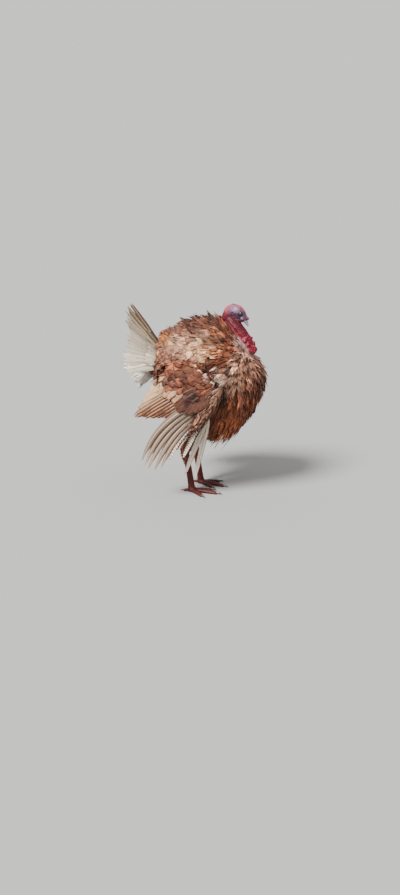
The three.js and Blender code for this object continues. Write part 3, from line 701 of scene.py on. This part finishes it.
# ---------------- feathers as joined meshes
ROWS, COLUMNS = 8, 9  # points along and across a body feather
LOCK_ROWS = 4
LOCK_REACH = 18  # length of a lock of barbs on a feather of the usual length
BAKE_PATCH = 0.0015  # half the side of a feather's patch on its bake map


class Coat:
    """The outline of the coat, with all that a feather needs to know at each of its points."""

    def __init__(self, points, normals, owners, edges):
        self.points, self.normals, self.owners, self.edges = points, normals, owners, edges
        self.tree = tree_of(points)
        self.style = blurred(plumage(points, owners), edges, 2)
        self.lie = lie_of_coat(points, normals, owners, edges)

    def field(self, key):
        return self.style[:, 6 + STYLE_KEYS.index(key)]

    def share(self, names, times):
        return share_of(self.owners, self.edges, names, times)

    def settle(self, q):
        """The outline's point nearest q, the outward direction there and its index."""
        k = nearest_index(self.tree, q)
        n = self.normals[k]
        return q - n * ((q - self.points[k]) * n).sum(-1, keepdims=True), n, k

    def nearest(self, nodes, q):
        """The index of the outline's point nearest q among those of these nodes."""
        among = np.flatnonzero(belongs(self.owners, nodes))
        return among[nearest_index(tree_of(self.points[among]), q)]


class Vanes:
    """Many vanes: their shafts' paths and outward directions are (feather, row, 3).

    Each has its half width and how hollow it is. All start at base of their width, are full at
    shoulder and lose taper of it at the tip.
    """

    def __init__(self, paths, outs, half, cup, base=0.2, shoulder=0.4, taper=0.25):
        self.paths, self.outs, self.half, self.cup = paths, outs, half, cup
        self.base, self.shoulder, self.taper = base, shoulder, taper
        self.along = unit(np.gradient(paths, axis=1))
        self.across = unit(np.cross(outs, self.along))

    def places(self, t, s):
        """Points, outward and sideways directions where t runs from root to tip and s across."""
        rows = self.paths.shape[1]
        shape = (-1, *[1] * (t.ndim - 1))
        place = np.maximum(t * (rows - 1), 0)
        k = np.minimum(place.astype(int), rows - 2)
        u = np.clip(place - k, 0, 2.5)[..., None]
        i = np.arange(len(self.paths)).reshape(shape)
        mix = lambda a: a[i, k] * (1 - u) + a[i, k + 1] * u
        width = self.half.reshape(shape) * (self.base + (1 - self.base) * smoothstep(0, self.shoulder, t))
        width = width * (1 - self.taper * np.clip(t, 0, 1) ** 3)
        out, across = mix(self.outs), mix(self.across)
        sink = self.cup.reshape(shape) * s**2 * width
        return mix(self.paths) + across * (s * width)[..., None] - out * sink[..., None], out, across


def grid_faces(count, rows, columns, closed=False):
    """The faces of many grids of points, one after the other, open or closed to tubes."""
    r, c = np.meshgrid(np.arange(rows - 1), np.arange(columns - 1 + closed), indexing="ij")
    a, b = (r * columns + c).ravel(), (r * columns + (c + 1) % columns).ravel()
    quad = np.stack([a, b, b + columns, a + columns] if closed else [a, a + columns, b + columns, b], 1)
    return (quad[None] + (np.arange(count) * rows * columns)[:, None, None]).reshape(-1, 4)


def joined_vanes(name, grid, maps, colours, look):
    """One mesh of many vanes, with the UV maps Vane, Rim and OFBake and the colours Middle and Edge."""
    count, rows, columns, _ = grid.shape
    faces = grid_faces(count, rows, columns)
    mesh = bpy.data.meshes.new(name)
    mesh.vertices.add(count * rows * columns)
    mesh.vertices.foreach_set("co", to_frame(grid).astype(np.float32).ravel())
    mesh.loops.add(faces.size)
    mesh.loops.foreach_set("vertex_index", faces.ravel().astype(np.int32))
    mesh.polygons.add(len(faces))
    mesh.polygons.foreach_set("loop_start", np.arange(len(faces), dtype=np.int32) * 4)
    mesh.update(calc_edges=True)
    for key, pair in zip(("Vane", "Rim", "OFBake"), maps):
        layer = mesh.uv_layers.new(name=key, do_init=False)
        pair = [np.broadcast_to(v, grid.shape[:3]).reshape(-1)[faces.ravel()] for v in pair]
        layer.uv.foreach_set("vector", np.stack(pair, 1).astype(np.float32).ravel())
    for key, colour in zip(("Middle", "Edge"), colours):
        add_colours(mesh, key, np.repeat(colour, rows * columns, 0))
    ob = add_object(name, mesh)
    dress(ob, look)
    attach(ob, "root")
    return ob


def bake_patch(spots, rows, columns, patch):
    """Each vane's own small square on the bake map, round its root's place."""
    s = np.linspace(-1, 1, columns)[None, None, :]
    t = np.linspace(-1, 1, rows)[None, :, None]
    return spots[:, 0][:, None, None] + s * patch, spots[:, 1][:, None, None] + t * patch


def unwrapped(points):
    """The place of each root on an unwrap of the body round its long axis, filling the map."""
    turn = np.arctan2(points[:, 1], points[:, 2] - BODY_AXIS)
    flat = np.stack([turn, points[:, 0]], 1)
    low, high = flat.min(0), flat.max(0)
    return 0.02 + 0.96 * (flat - low) / np.maximum(high - low, 1e-6)


def spread(count, size):
    return np.clip(rng.normal(0, 1, count), -2, 2) * size


def lay_feathers(coat, roots, value, straight):
    """Paths of feathers that start under the outline and follow the coat's lie, or run straight."""
    hands = belongs(coat.owners[roots], HAND_NODES)
    count = len(roots)
    length = value["length"] * (1 + spread(count, 0.14))
    turn = spread(count, 0.22)[:, None]
    at = coat.points[roots]
    out = first = coat.normals[roots]
    heading = coat.lie[roots]
    heading = heading * np.cos(turn) + np.cross(out, heading) * np.sin(turn)
    lift = value["lift"] * np.clip(1 + spread(count, 0.5), 0.1, 2.2)
    lean = np.cross(out, heading) * spread(count, 0.12)[:, None]
    paths, outs = [], []
    for k in range(ROWS):
        t = k / (ROWS - 1)
        rise = lift * t**2.2 - value["depth"] * (1 - t) ** 1.6
        fall = value["droop"] * length * t**2
        paths.append(at + out * rise[:, None] - np.array([0, 0, 1.0]) * fall[:, None])
        outs.append(unit(out + lean * (0.3 + t)))
        at = at + heading * (length / (ROWS - 1))[:, None]
        if straight:
            continue
        settled, turned, index = coat.settle(at)
        # on the hand a feather doesn't curl round the end but runs on over the primaries
        free = (hands & ((turned * first).sum(1) < 0.7))[:, None]
        at, out = np.where(free, at, settled), np.where(free, out, turned)
        heading = unit(0.6 * heading + 0.4 * coat.lie[index])
        heading = unit(square_to(out, heading))
    return np.stack(paths, 1), np.stack(outs, 1), length


def add_locks(name, vanes, length, middle, rim, spots, look, locks):
    """Loose locks of barbs over the vanes, which break up their edges."""
    shape = (len(length), locks)
    total = len(length) * locks
    side = np.where(rng.random(shape) < 0.5, -1.0, 1.0)
    start = rng.uniform(0.35, 0.92, shape)
    aside = side * rng.uniform(0.0, 0.8, shape)
    drift = side * rng.uniform(0.1, 0.5, shape)
    size = LOCK_REACH * rng.uniform(0.7, 1.2, shape) * (length / USUAL["length"])[:, None]
    step = np.linspace(0, 1, LOCK_ROWS)[None, None, :]
    t = start[..., None] + (size / length[:, None])[..., None] * step
    s = aside[..., None] + drift[..., None] * step
    line, out, across = vanes.places(t, s)
    raised = 0.4 + rng.uniform(0.4, 3.0, shape)[..., None] * step**1.5
    line = line + out * raised[..., None]
    roll = rng.normal(0, 0.55, shape)[..., None, None]
    edge = across * np.cos(roll) + out * np.sin(roll)
    width = rng.uniform(1.1, 2.1, shape)[..., None] * np.array([0.8, 1.0, 0.75, 0.15])
    reach = (edge * width[..., None])[..., None, :] * np.array([-1.0, 1.0])[:, None]
    grid = (line[..., None, :] + reach).reshape(total, LOCK_ROWS, 2, 3)
    grid[..., 2] = np.maximum(grid[..., 2], CLEARANCE)
    toned = np.exp(rng.normal(0, 0.3, (total, 1)))
    dark = smoothstep(0.75, 1.05, start).reshape(-1, 1)
    middle, rim = np.repeat(middle, locks, 0), np.repeat(rim, locks, 0)
    body = np.clip((middle * (1 - dark) + rim * dark) * toned, 0, WHITEST)
    tip = np.clip((0.5 * body + 0.5 * rim) * toned, 0, WHITEST)
    maps = [
        (0.22, np.repeat(np.clip(t, 0, 1).reshape(-1, LOCK_ROWS, 1), 2, 2)),
        ((step**2 * 0.9).reshape(1, LOCK_ROWS, 1), rng.random((total, 1, 1))),
        bake_patch(np.repeat(spots, locks, 0), LOCK_ROWS, 2, BAKE_PATCH),
    ]
    joined_vanes(name, grid, maps, (body, tip), look)


def body_feathers(name, coat, nodes, look, locks, straight=False, places=None):
    """Contour feathers over these nodes, or the places on them, with loose barbs as a second piece."""
    allowed = belongs(coat.owners, nodes)
    if places:
        allowed &= np.any([
            np.hypot(coat.points[:, 0] - x, coat.points[:, 2] - z) < radius for x, z, radius in places], 0)
    roots = scattered(coat.points, coat.field("gap"), allowed)
    count = len(roots)
    value = {key: coat.field(key)[roots] for key in STYLE_KEYS}
    paths, outs, length = lay_feathers(coat, roots, value, straight)
    half = value["half"] * (1 + spread(count, 0.15))
    vanes = Vanes(paths, outs, half, 0.3 + spread(count, 0.14))
    s = np.linspace(-1, 1, COLUMNS)
    point, rag = value["point"][:, None], value["rag"][:, None]
    stop = 1 - point * np.abs(s) ** (2.6 - 1.6 * point) + rag * rng.normal(0, 1, (count, COLUMNS))
    tt = np.linspace(0, 1, ROWS)[None, :, None] * np.clip(stop, 0.35, 1.12)[:, None, :]
    grid, out, _ = vanes.places(tt, np.broadcast_to(s, tt.shape))
    flutter = rng.normal(0, 1, (count, 1, COLUMNS)) * rag[:, :, None] * 9
    grid = grid + out * (flutter * tt**2)[..., None]
    grid[..., 2] = np.maximum(grid[..., 2], CLEARANCE)
    # neighbours trade colours over a short way, and a few feathers are odd ones
    seen = coat.points[roots] if straight else paths[:, -1]
    source = coat.nearest(nodes, seen + rng.normal(0, 7, (count, 3)))
    tone = np.exp(value["vary"] * rng.normal(0, 1, count))[:, None]
    middle = dimmed(coat.style[source, 0:3] * tone)
    rim = dimmed(coat.style[source, 3:6] * tone**0.6)
    spots = unwrapped(coat.points[roots])
    edge = np.maximum(np.clip(tt, 0, 1) ** 5, 0.75 * np.abs(s) ** 3 * smoothstep(0.2, 0.6, tt))
    edge = edge * coat.field("rims")[source][:, None, None]
    maps = [
        ((s + 1) / 2, tt), (edge, rng.random((count, 1, 1))), bake_patch(spots, ROWS, COLUMNS, BAKE_PATCH)]
    joined_vanes(name, grid, maps, (middle, rim), look)
    if locks:
        add_locks(name + "_barbs", vanes, length, middle, rim, spots, look, locks)


# ---------------- flight feathers
PRIMARIES = 10
SECONDARIES = 12
WRIST = np.array([128.0, 150, 362])
ELBOW = np.array([-28.0, 146, 428])
PRIMARY_ROOTS = np.array([[106.0, 150, 348], [97, 136, 284]])
PRIMARY_BOW = np.array([-62.0, 8, 44])
SECONDARY_TIPS = np.array([[-84.0, 162, 384], [-150, 176, 277], [-52, 172, 280]])
WING_POSES = {
    "right": (-1, np.zeros(3), [
        (-111, 196, 138), (-100, 197, 124), (-88, 197, 115), (-67, 196, 111), (-45, 194, 119),
        (-16, 188, 150), (8, 178, 182), (19, 162, 150), (4, 112, 78), (27, 82, 56)]),
    "left": (1, np.array([-34.0, 0, 8]), [
        (-176, 186, 196), (-168, 186, 184), (-158, 185, 174), (-146, 184, 166), (-133, 183, 159),
        (-119, 181, 152), (-106, 179, 147), (-94, 177, 142), (-82, 172, 139), (-70, 166, 138)]),
}
# tips of the longest coverts, which lie over the roots of the flight feathers
COVERT_TIPS = np.array([
    [-80.0, 154, 424], [-83, 160, 405], [-79, 165, 386], [-63, 168, 362], [-46, 170, 350],
    [-30, 171, 345], [-12, 172, 334], [-4, 173, 314], [6, 174, 302], [24, 173, 297], [42, 172, 299],
    [60, 172, 305], [76, 172, 314]])
TAIL_QUILLS = 15  # on each side
TAIL_ROOT = np.array([-94.0, 0, 446])
TAIL_TOP = np.array([-0.56, -0.01, 0.83])
# for each side its sign, where the fan opens to, by how many degrees, and its lengths from the top
TAIL_SIDES = [
    (1, (-0.6, 0.78, 0.16), 72, (234, 222, 208, 198, 194, 192, 190, 188, 184)),
    (-1, (-0.34, -0.93, 0.13), 104, (236, 226, 204, 184, 172, 170, 184, 222, 222)),
]


def bezier(a, b, c, rows):
    t = np.linspace(0, 1, rows)[:, None]
    return (1 - t) ** 2 * a + 2 * t * (1 - t) * b + t**2 * c


def quill(root, tip, bend, out, half, blunt, colours, rank=0.0, held=(1, 1), shift=0.0, shaded_edge=0.0,
          bars=0.0):
    """A long feather. Its rank in the stack puts its middle out, and root and tip by what is held."""
    return dict(
        root=root + rank * held[0], middle=(root + tip) / 2 + bend + rank, tip=tip + rank * held[1], out=out,
        half=half, blunt=blunt, shift=shift, shaded_edge=shaded_edge, bars=bars,
        middle_colour=colours[0], rim_colour=colours[1])


def flight_feathers(name, quills, look, node, rows=28, columns=13, fray=1.6, taper=0.15):
    """Long feathers with a shaft each, where they stand for a node."""
    paths = np.stack([bezier(q["root"], q["middle"], q["tip"], rows) for q in quills])
    along = unit(np.gradient(paths, axis=1))
    outs = np.stack([np.broadcast_to(q["out"], (rows, 3)) for q in quills])
    outs = unit(square_to(along, outs))
    count = len(quills)
    get = lambda key: np.array([q[key] for q in quills])
    s = np.linspace(-1, 1, columns)
    t = np.linspace(0, 1, rows)
    vanes = Vanes(paths, outs, get("half"), np.full(count, 0.16), 0.4, 0.25, taper)
    stop = 1 - get("blunt")[:, None] * np.abs(s) ** 2.4 + fray * 0.012 * rng.normal(0, 1, (count, columns))
    tt = t[None, :, None] * stop[:, None, :]
    shifted = s + get("shift")[:, None, None] * (1 - s**2)
    grid, out, _ = vanes.places(tt, shifted)
    # the barbs part in a few places along each edge, and each vane waves a little
    outer = np.abs(s) ** 3 * smoothstep(0.25, 0.9, tt)
    wave = rng.normal(0, 1, (count, rows, columns)) * outer
    grid = grid + along[:, :, None, :] * (wave * fray)[..., None]
    parted = (rng.random((count, rows, 1)) < 0.12) * outer * rng.uniform(2, 6, (count, rows, 1))
    grid = grid + along[:, :, None, :] * (parted * fray)[..., None]
    ripple = np.sin(t[None, :] * 9 + rng.uniform(0, 6, (count, 1)))[:, :, None] * np.abs(s) * 0.8
    grid = grid + out * ripple[..., None]
    grid_side = math.ceil(math.sqrt(count))  # of the bake map's even patches
    spots = np.array([[k % grid_side + 0.5, k // grid_side + 0.5] for k in range(count)]) / grid_side
    # a dark line along one edge of each vane: painted shade where the next feather overlaps it
    lined = smoothstep(0.25, 1.0, s[None, None, :] * get("shaded_edge")[:, None, None])
    edge = np.maximum(lined, 0.5 * np.abs(s) ** 4) * smoothstep(0.05, 0.2, tt)
    edge = np.maximum(edge, np.clip(tt, 0, 1) ** 14 * 0.8)
    maps = [
        ((s + 1) / 2, tt), (edge, rng.random((count, 1, 1))),
        bake_patch(spots, rows, columns, 0.42 / grid_side)]
    middle = np.clip(get("middle_colour") * (1 + 0.12 * rng.normal(0, 1, (count, 1))), 0, WHITEST)
    middle = np.concatenate([middle, get("bars")[:, None]], 1)
    ob = joined_vanes(name, grid, maps, (middle, get("rim_colour")), look)
    if node:
        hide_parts(node)
        shafts(name + "_shafts", paths, outs, along)


def shafts(name, paths, outs, along, sides=5):
    """The horny shafts of long feathers, thick at the root and fine at the tip."""
    count, rows, _ = paths.shape
    t = np.linspace(0, 1, rows)
    radius = (1.35 * (1 - t) + 0.25)[None, :, None, None]
    turn = np.linspace(0, 2 * math.pi, sides, endpoint=False)
    across = unit(np.cross(outs, along))
    ring = across[:, :, None] * np.cos(turn)[:, None] + outs[:, :, None] * np.sin(turn)[:, None]
    points = to_frame(paths[:, :, None] + ring * radius).reshape(-1, 3)
    faces = grid_faces(count, rows, sides, closed=True).tolist()
    for start in range(0, count * rows * sides, rows * sides):
        end = start + (rows - 1) * sides
        faces += [list(range(start, start + sides))[::-1], list(range(end, end + sides))]
    mesh = bpy.data.meshes.new(name)
    mesh.from_pydata(points.tolist(), [], faces)
    ob = add_object(name, mesh)
    dress(ob, LOOKS["shaft"])
    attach(ob, "root")


def blend(first, second, share):
    return np.array(linear(first)) * (1 - share) + np.array(linear(second)) * share


def build_wing(name):
    sign, shift, tips = WING_POSES[name]
    flip = np.array([1.0, sign, 1.0])
    put = lambda p: np.asarray(p) * flip + shift
    out = np.array([0, sign * 1.0, 0.12])
    first, last = put(PRIMARY_ROOTS[0]), put(PRIMARY_ROOTS[1])
    quills = []
    for i in range(PRIMARIES):
        u = i / (PRIMARIES - 1)
        white, barred = i >= PRIMARIES - 2, 5 <= i < PRIMARIES - 2
        middle = "#eedfce" if white else "#ead7c4" if barred else "#776454"
        quills.append(quill(
            first + (last - first) * u, np.array(tips[i]) * flip, PRIMARY_BOW * flip * (1 - u) ** 1.2, out,
            11.5 - 1.5 * u, 0.2, (linear(middle), linear("#a8937f" if white else "#3c2c24")),
            rank=out * (1.3 * (PRIMARIES / 2 - i)), held=(1, 0.5), shift=0.0 if white else 0.2 * sign,
            shaded_edge=-sign, bars=1.0 if barred else 0.1))
    flight_feathers(f"wing_{name}_primary_feathers", quills, LOOKS["flight"],
                    f"wing_{name}_primaries", taper=0.5)
    wrist, elbow = put(WRIST), put(ELBOW)
    inner, corner, outer = (put(p) for p in SECONDARY_TIPS)
    quills = []
    for i in range(SECONDARIES):
        u = i / (SECONDARIES - 1)
        tip = inner + (corner - inner) * 2 * u if u < 0.5 else corner + (outer - corner) * (2 * u - 1)
        rust = smoothstep(2.5, 6, i)
        quills.append(quill(
            elbow + (wrist - elbow) * (0.1 + 0.75 * u), tip, np.array([0, sign * 6, 4]), out, 12.0, 0.16,
            (blend("#b08c66", "#5f3013", rust), blend("#4a3222", "#371a0c", rust)),
            rank=out * (1.0 * (SECONDARIES / 2 - i) + 4), held=(1, 0.4), shift=0.1 * sign,
            shaded_edge=-sign * (1.2 + 0.3 * rust)))
    flight_feathers(f"wing_{name}_secondary_feathers", quills, LOOKS["flight"],
                    f"wing_{name}_secondaries")
    quills = []
    for i, at in enumerate(COVERT_TIPS):
        u = min(i / 7, 1)
        root = put(at + np.array([60.0, -12, 14]) * (1 - u) + np.array([42.0, -9, 50]) * u)
        pale = 2 <= i < 7
        quills.append(quill(
            root, put(at), out * 4, out, 14.0, 0.35,
            (linear("#9c7457" if pale else "#421f0e"), linear("#4a2c1c" if pale else "#2c130b")),
            rank=out * (0.8 * (i % 3) + 2.0 * pale), held=(0, 1), shaded_edge=-sign * 1.2))
    flight_feathers(f"wing_{name}_greater_coverts", quills, LOOKS["coverts"], None,
                    rows=14, fray=2.6)


def build_tail():
    top = unit(TAIL_TOP)
    quills, coverts = [], []
    for sign, aside, fan, lengths in TAIL_SIDES:
        aside = unit(np.array(aside))
        normal = unit(np.cross(top, aside))
        normal = normal * np.sign(normal[0])
        sizes = np.interp(np.linspace(0, len(lengths) - 1, TAIL_QUILLS), range(len(lengths)), lengths)
        for i, size in enumerate(sizes + rng.normal(0, 4, TAIL_QUILLS)):
            low = i / (TAIL_QUILLS - 1)
            angle = math.radians(fan * (i + 0.5) / TAIL_QUILLS)
            heading = unit(top * math.cos(angle) + aside * math.sin(angle))
            rank = normal * (4 - 8 * low)
            root = TAIL_ROOT + heading * 14 + rank
            tip = TAIL_ROOT + heading * size + rank - normal * 5
            quills.append(quill(
                root, tip, normal * 3, normal, 19.0, 0.3,
                (blend("#604629", "#ebdfc9", low**0.9), blend("#33230f", "#b5a48c", low**0.9)),
                shaded_edge=-sign * (1.3 - 0.6 * low), bars=0.25 - 0.2 * low))
            if i % 2:
                end = root + (tip - root) * 0.55 + normal * 4
                covert = {"middle": (root + end) / 2 + normal * 6, "tip": end, "half": 17.0}
                coverts.append({**quills[-1], **covert})
    for name, feathers, node in (
            ("tail_quill_feathers", quills, "tail_feathers"), ("tail_covert_feathers", coverts, None)):
        flight_feathers(name, feathers, LOOKS["flight"], node, fray=3.0)


# ---------------- materials
def feather_look(name, barbs, shaft, streak, root_shade, rim_to=0.8, bars=0.0):
    """Feather vane: a middle and a rim colour, fine slanting barbs, a pale shaft and soft gloss."""
    look = Look(name)
    maths, span, smooth_span = look.maths, look.span, look.smooth_span
    vane, rim = look.mapped("Vane"), look.mapped("Rim")
    middle, edge = look.layer("Middle"), look.layer("Edge")
    aside = maths("ABSOLUTE", maths("SUBTRACT", vane[0], 0.5))
    slant = maths("SUBTRACT", vane[1], maths("MULTIPLY", aside, 0.55))
    spot = look.add("CombineXYZ", {
        0: maths("MULTIPLY", slant, barbs), 1: maths("MULTIPLY", rim[1], 91.0),
        2: maths("MULTIPLY", vane[0], 2.6)}).outputs[0]
    barb = look.noise(1.0, 3.0, Vector=spot, Roughness=0.65)
    wide = look.noise(0.3, 1.0, Vector=spot)
    reach = maths("ADD", rim[0], maths("MULTIPLY", maths("SUBTRACT", wide, 0.5), 0.7))
    colour = look.mix(middle[0], edge[0], smooth_span(reach, 0.35, rim_to))
    colour = look.times(colour, span(barb, 0.3, 0.7, 1.0 - streak, 1.0 + streak * 0.7))
    # near the root the vane is darker: painted shade where other feathers cover it, and the real dark down
    # there
    colour = look.times(colour, smooth_span(vane[1], 0.1, 0.6, root_shade, 1.0))
    if bars:
        level = maths("SUBTRACT", vane[1], maths("MULTIPLY", aside, 0.06))
        turn = maths("ADD", maths("MULTIPLY", level, bars * 2 * math.pi), maths("MULTIPLY", wide, 5.0))
        wave = smooth_span(maths("SINE", turn), -0.3, 0.7, 0.0, 0.82)
        colour = look.times(colour, maths("SUBTRACT", 1.0, maths("MULTIPLY", wave, middle[1])))
    pale = span(aside, 0.012, 0.05, shaft, 0.0)
    return look.surface({
        "Base Color": look.mix(colour, (*linear("#d8b898"), 1), pale),
        "Normal": look.bump(barb, 0.4, 0.0008), "Roughness": 0.68, "Specular IOR Level": 0.25,
        "Sheen Weight": 0.05, "Sheen Roughness": 0.5})


def skin_look():
    """Bare, moist, bumpy skin on head, neck and legs, and dull down between the feathers; its colour layer
    holds painted shade and highlights too.
    """
    look = Look("turkey_skin")
    where = look.place()
    mottle = look.span(look.noise(200.0, 3.0, Vector=where), 0.35, 0.65, 0.6, 1.3)
    fine = look.noise(700.0, 3.0, Vector=where)
    return look.surface({
        "Base Color": look.times(look.layer("Tint")[0], mottle),
        "Roughness": look.span(look.layer("Bare")[0], 0.0, 1.0, 0.85, 0.5),
        "Normal": look.bump(fine, 0.4, 0.0006), "Specular IOR Level": 0.25,
        "Subsurface Weight": 0.05, "Subsurface Radius": (0.004, 0.0015, 0.001)})


def horn_look(name, dark, light, scale):
    """Horn of bill and claws: dark mottling on a paler body, worn smooth."""
    look = Look(name)
    noise = look.noise(scale, 4.0, Vector=look.place())
    colour = look.ramp(noise, (0.35, linear(dark)), (0.68, linear(light)))
    return look.surface({
        "Base Color": colour, "Normal": look.bump(noise, 0.2, 0.0003), "Roughness": 0.38})


def plain_look(name, colour, roughness, coat=0.0):
    return Look(name).surface({
        "Base Color": (*linear(colour), 1), "Roughness": roughness, "Coat Weight": coat})


LOOKS = {
    "skin": skin_look(),
    "contour": feather_look("contour_feather", 11.0, 0.14, 0.5, 0.35),
    "coverts": feather_look("covert_feather", 9.0, 0.04, 0.5, 0.35),
    "flight": feather_look("flight_feather", 60.0, 0.4, 0.3, 0.8, rim_to=0.9, bars=20.0),
    "shaft": plain_look("feather_shaft", "#b89c80", 0.45),
    "beak": horn_look("beak_horn", "#3e3034", "#9a8288", 260.0),
    "claw": horn_look("claw_horn", "#2e2422", "#6a564c", 300.0),
    "eye_white": plain_look("eye_rim", "#2a1c1c", 0.25, 0.6),
    "iris": plain_look("eye_iris", "#35201a", 0.15, 1.0),
    "pupil": plain_look("eye_pupil", "#060505", 0.08, 1.0),
}


# ---------------- skin colours
def painted(base, *coats):
    """The base colour under coats of paint, each with its share for every point and its colour."""
    out = np.array(linear(base))
    for share, colour in coats:
        out = out * (1 - share[:, None]) + np.array(linear(colour)) * share[:, None]
    return out


def skin_colours(coat, relief):
    """Colour of the skin: under the feathers the coat's colours darkened, for dull down and painted shade in
    the gaps between feathers; the bare skin's elsewhere.
    """
    tint = 0.4 * coat.style[:, 0:3] + 0.15 * coat.style[:, 3:6]
    x, _, z = in_head(coat.points).T
    height = coat.points[:, 2]
    down = smoothstep(590, 530, height)  # from the head down to the foot of the neck
    ahead = coat.points[:, 0] - throat_line(height)  # towards the throat

    def spot(at_x, at_z, wide, high):
        return np.exp(-(((x - at_x) / wide) ** 2) - ((z - at_z) / high) ** 2)

    legs = painted("#46130e", (smoothstep(25, 12, height) * 0.6, "#3d1512"))
    head = painted(
        "#664053",
        # darker between the lumps: painted shade
        (smoothstep(0.45, 0.1, relief) * 0.55, "#40293b"),
        (smoothstep(9, 19, z) * 0.85, "#b04c52"),
        (smoothstep(-30, -42, x) * 0.7, "#9f3440"),
        (spot(-18, 2, 12, 9) * 0.6, "#9f869e"),
        (spot(8, -6, 13, 10) * 0.85, "#211b2c"),
        (spot(EYE_X, EYE_Z, 9.0, 8.0) * 0.9, "#12101a"),
        (spot(15, -9, 4, 3) * 0.7, "#b5a3b1"),
        # a dark band behind and below the eye, and a dark ear: painted shade under the jaw and in the ear's
        # dent
        (spot(-9, -12, 9, 5) * 0.8, "#2c2029"),
        (spot(EAR_X, EAR_Z, 4, 4) * 0.4, "#29111a"),
        # darker under the jaw: painted shadow
        (smoothstep(-17, -28, z) * 0.9, "#4f111d"))
    neck = painted(
        "#5f0e1f",
        (down * 0.9, "#650416"),
        (smoothstep(-2, -14, ahead) * 0.6, "#893549"),
        # darker towards the throat: painted shade on the front of the neck
        (smoothstep(0, 12, ahead) * 0.85 * (1 - 0.5 * down), "#320207"),
        # darker between the lumps: painted shade; paler on the lumps lower down: painted highlight
        (smoothstep(0.5, 0.05, relief) * 0.35, "#460b15"),
        (smoothstep(0.75, 1.1, relief) * 0.3 * down, "#ab4d67"))
    collar = painted(
        "#760f25",
        # darker between the caruncles: painted shade; paler on their tops: painted highlight
        (smoothstep(0.5, 0.05, relief) * 0.8, "#400914"),
        (smoothstep(0.8, 1.1, relief) * 0.5, "#c24e67"))
    snood = np.broadcast_to(linear("#64415b"), tint.shape)
    for names, colours in (
            (LEG_NODES, legs), (["head"], head), (["snood"], snood), (["neck"], neck),
            (["caruncles"], collar)):
        where = belongs(coat.owners, names)
        tint[where] = colours[where]
    return blurred(tint, coat.edges, 1)


# ---------------- making the bird
def build_skin():
    ob, points, owners, edges = build_full_skin()
    coat = Coat(points, mesh_normals(ob.data), owners, edges)
    bare = belongs(owners, BARE_NODES)
    near_bare = coat.share(BARE_NODES, 2)
    depth = np.where(bare, 0, coat.field("depth") * 0.8)
    depth = blurred(depth, edges, 14) * (1 - near_bare)
    inner = shape_legs(coat, points - coat.normals * depth[:, None])
    inner, relief = shape_head(coat, inner)
    inner[:, 2] = np.maximum(inner[:, 2], 0)
    set_points(ob.data, to_frame(inner))
    add_colours(ob.data, "Tint", skin_colours(coat, relief))
    add_colours(ob.data, "Bare", bare.astype(float))
    # coarser faces where the coat hides the skin, none lost on the head, legs and their edges
    covered = ob.vertex_groups.new(name="covered")
    covered.add(np.flatnonzero(near_bare == 0).tolist(), 1.0, "REPLACE")
    apply_modifier(ob, "DECIMATE", ratio=COVERED_SHARE, vertex_group=covered.name)
    dress(ob, LOOKS["skin"])
    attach(ob, "root")
    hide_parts(*FLESH_NODES)
    return coat


def build_eye(side, name):
    centre = to_frame(from_head([EYE_X, side * EYE_Y, EYE_Z]))
    deselect()
    bpy.ops.mesh.primitive_uv_sphere_add(
        segments=40, ring_count=28, radius=EYE_RADIUS * MM, location=centre)
    ob = bpy.context.object
    ob.name = f"eyeball_{name}"
    look = Vector(unit(np.array([0.18, side * 1.0, 0.02])))
    ob.data.transform(Vector((0, 0, 1)).rotation_difference(look).to_matrix().to_4x4())
    bpy.ops.object.transform_apply(location=True, rotation=True, scale=True)
    for key in ("eye_white", "iris", "pupil"):
        ob.data.materials.append(LOOKS[key])
    for face in ob.data.polygons:
        angle = math.degrees((face.center - Vector(centre)).angle(look))
        face.material_index = 2 if angle < PUPIL else 1 if angle < IRIS else 0
    ob.data.shade_smooth()
    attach(ob, "root")
    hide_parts(f"eye_{name}")


def refined_copy(node, name, look):
    ob = merged_copy([node])
    ob.name = name
    apply_modifier(ob, "REMESH", mode="VOXEL", voxel_size=FINE_VOXEL * MM)
    set_points(ob.data, relaxed(mesh_points(ob.data), mesh_edges(ob.data), 3))
    dress(ob, look)
    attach(ob, "root")
    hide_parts(node)


build_studio()
deselect()
coat = build_skin()
build_eye(-1, "right")
build_eye(1, "left")
refined_copy("beak_upper", "upper_bill", LOOKS["beak"])
refined_copy("beak_lower", "lower_bill", LOOKS["beak"])
for side in SIDES:
    for toe in TOES:
        refined_copy(f"claw_{side}_{toe}", f"claw_horn_{side}_{toe}", LOOKS["claw"])

# each with how many loose locks of barbs lie over a feather
for name, nodes, slot, look, locks in (
        ("breast_feathers", ["breast"], "dark_rust_feathers", "contour", 6),
        ("back_feathers", ["back"], "rust_feathers", "contour", 4),
        ("rump_feathers", ["rump"], "buff_feathers", "contour", 2),
        ("belly_feathers", ["belly"] + THIGH_NODES, "rust_feathers", "contour", 7),
        ("wing_covert_feathers", WING_NODES, "rust_feathers", "coverts", 2),
        ("undertail_feathers", ["undertail_coverts"], "tail_feathers", "contour", 5)):
    body_feathers(name, coat, nodes, LOOKS[look], locks, straight=name == "undertail_feathers")
build_wing("right")
build_wing("left")
build_tail()
# a second layer where the first one is thin: foot of the neck, shoulder, wrist, rear of the coverts
body_feathers("shoulder_down_feathers", coat, TRUNK_NODES + WING_NODES,
              LOOKS["contour"], 2, places=THIN_PLACES)
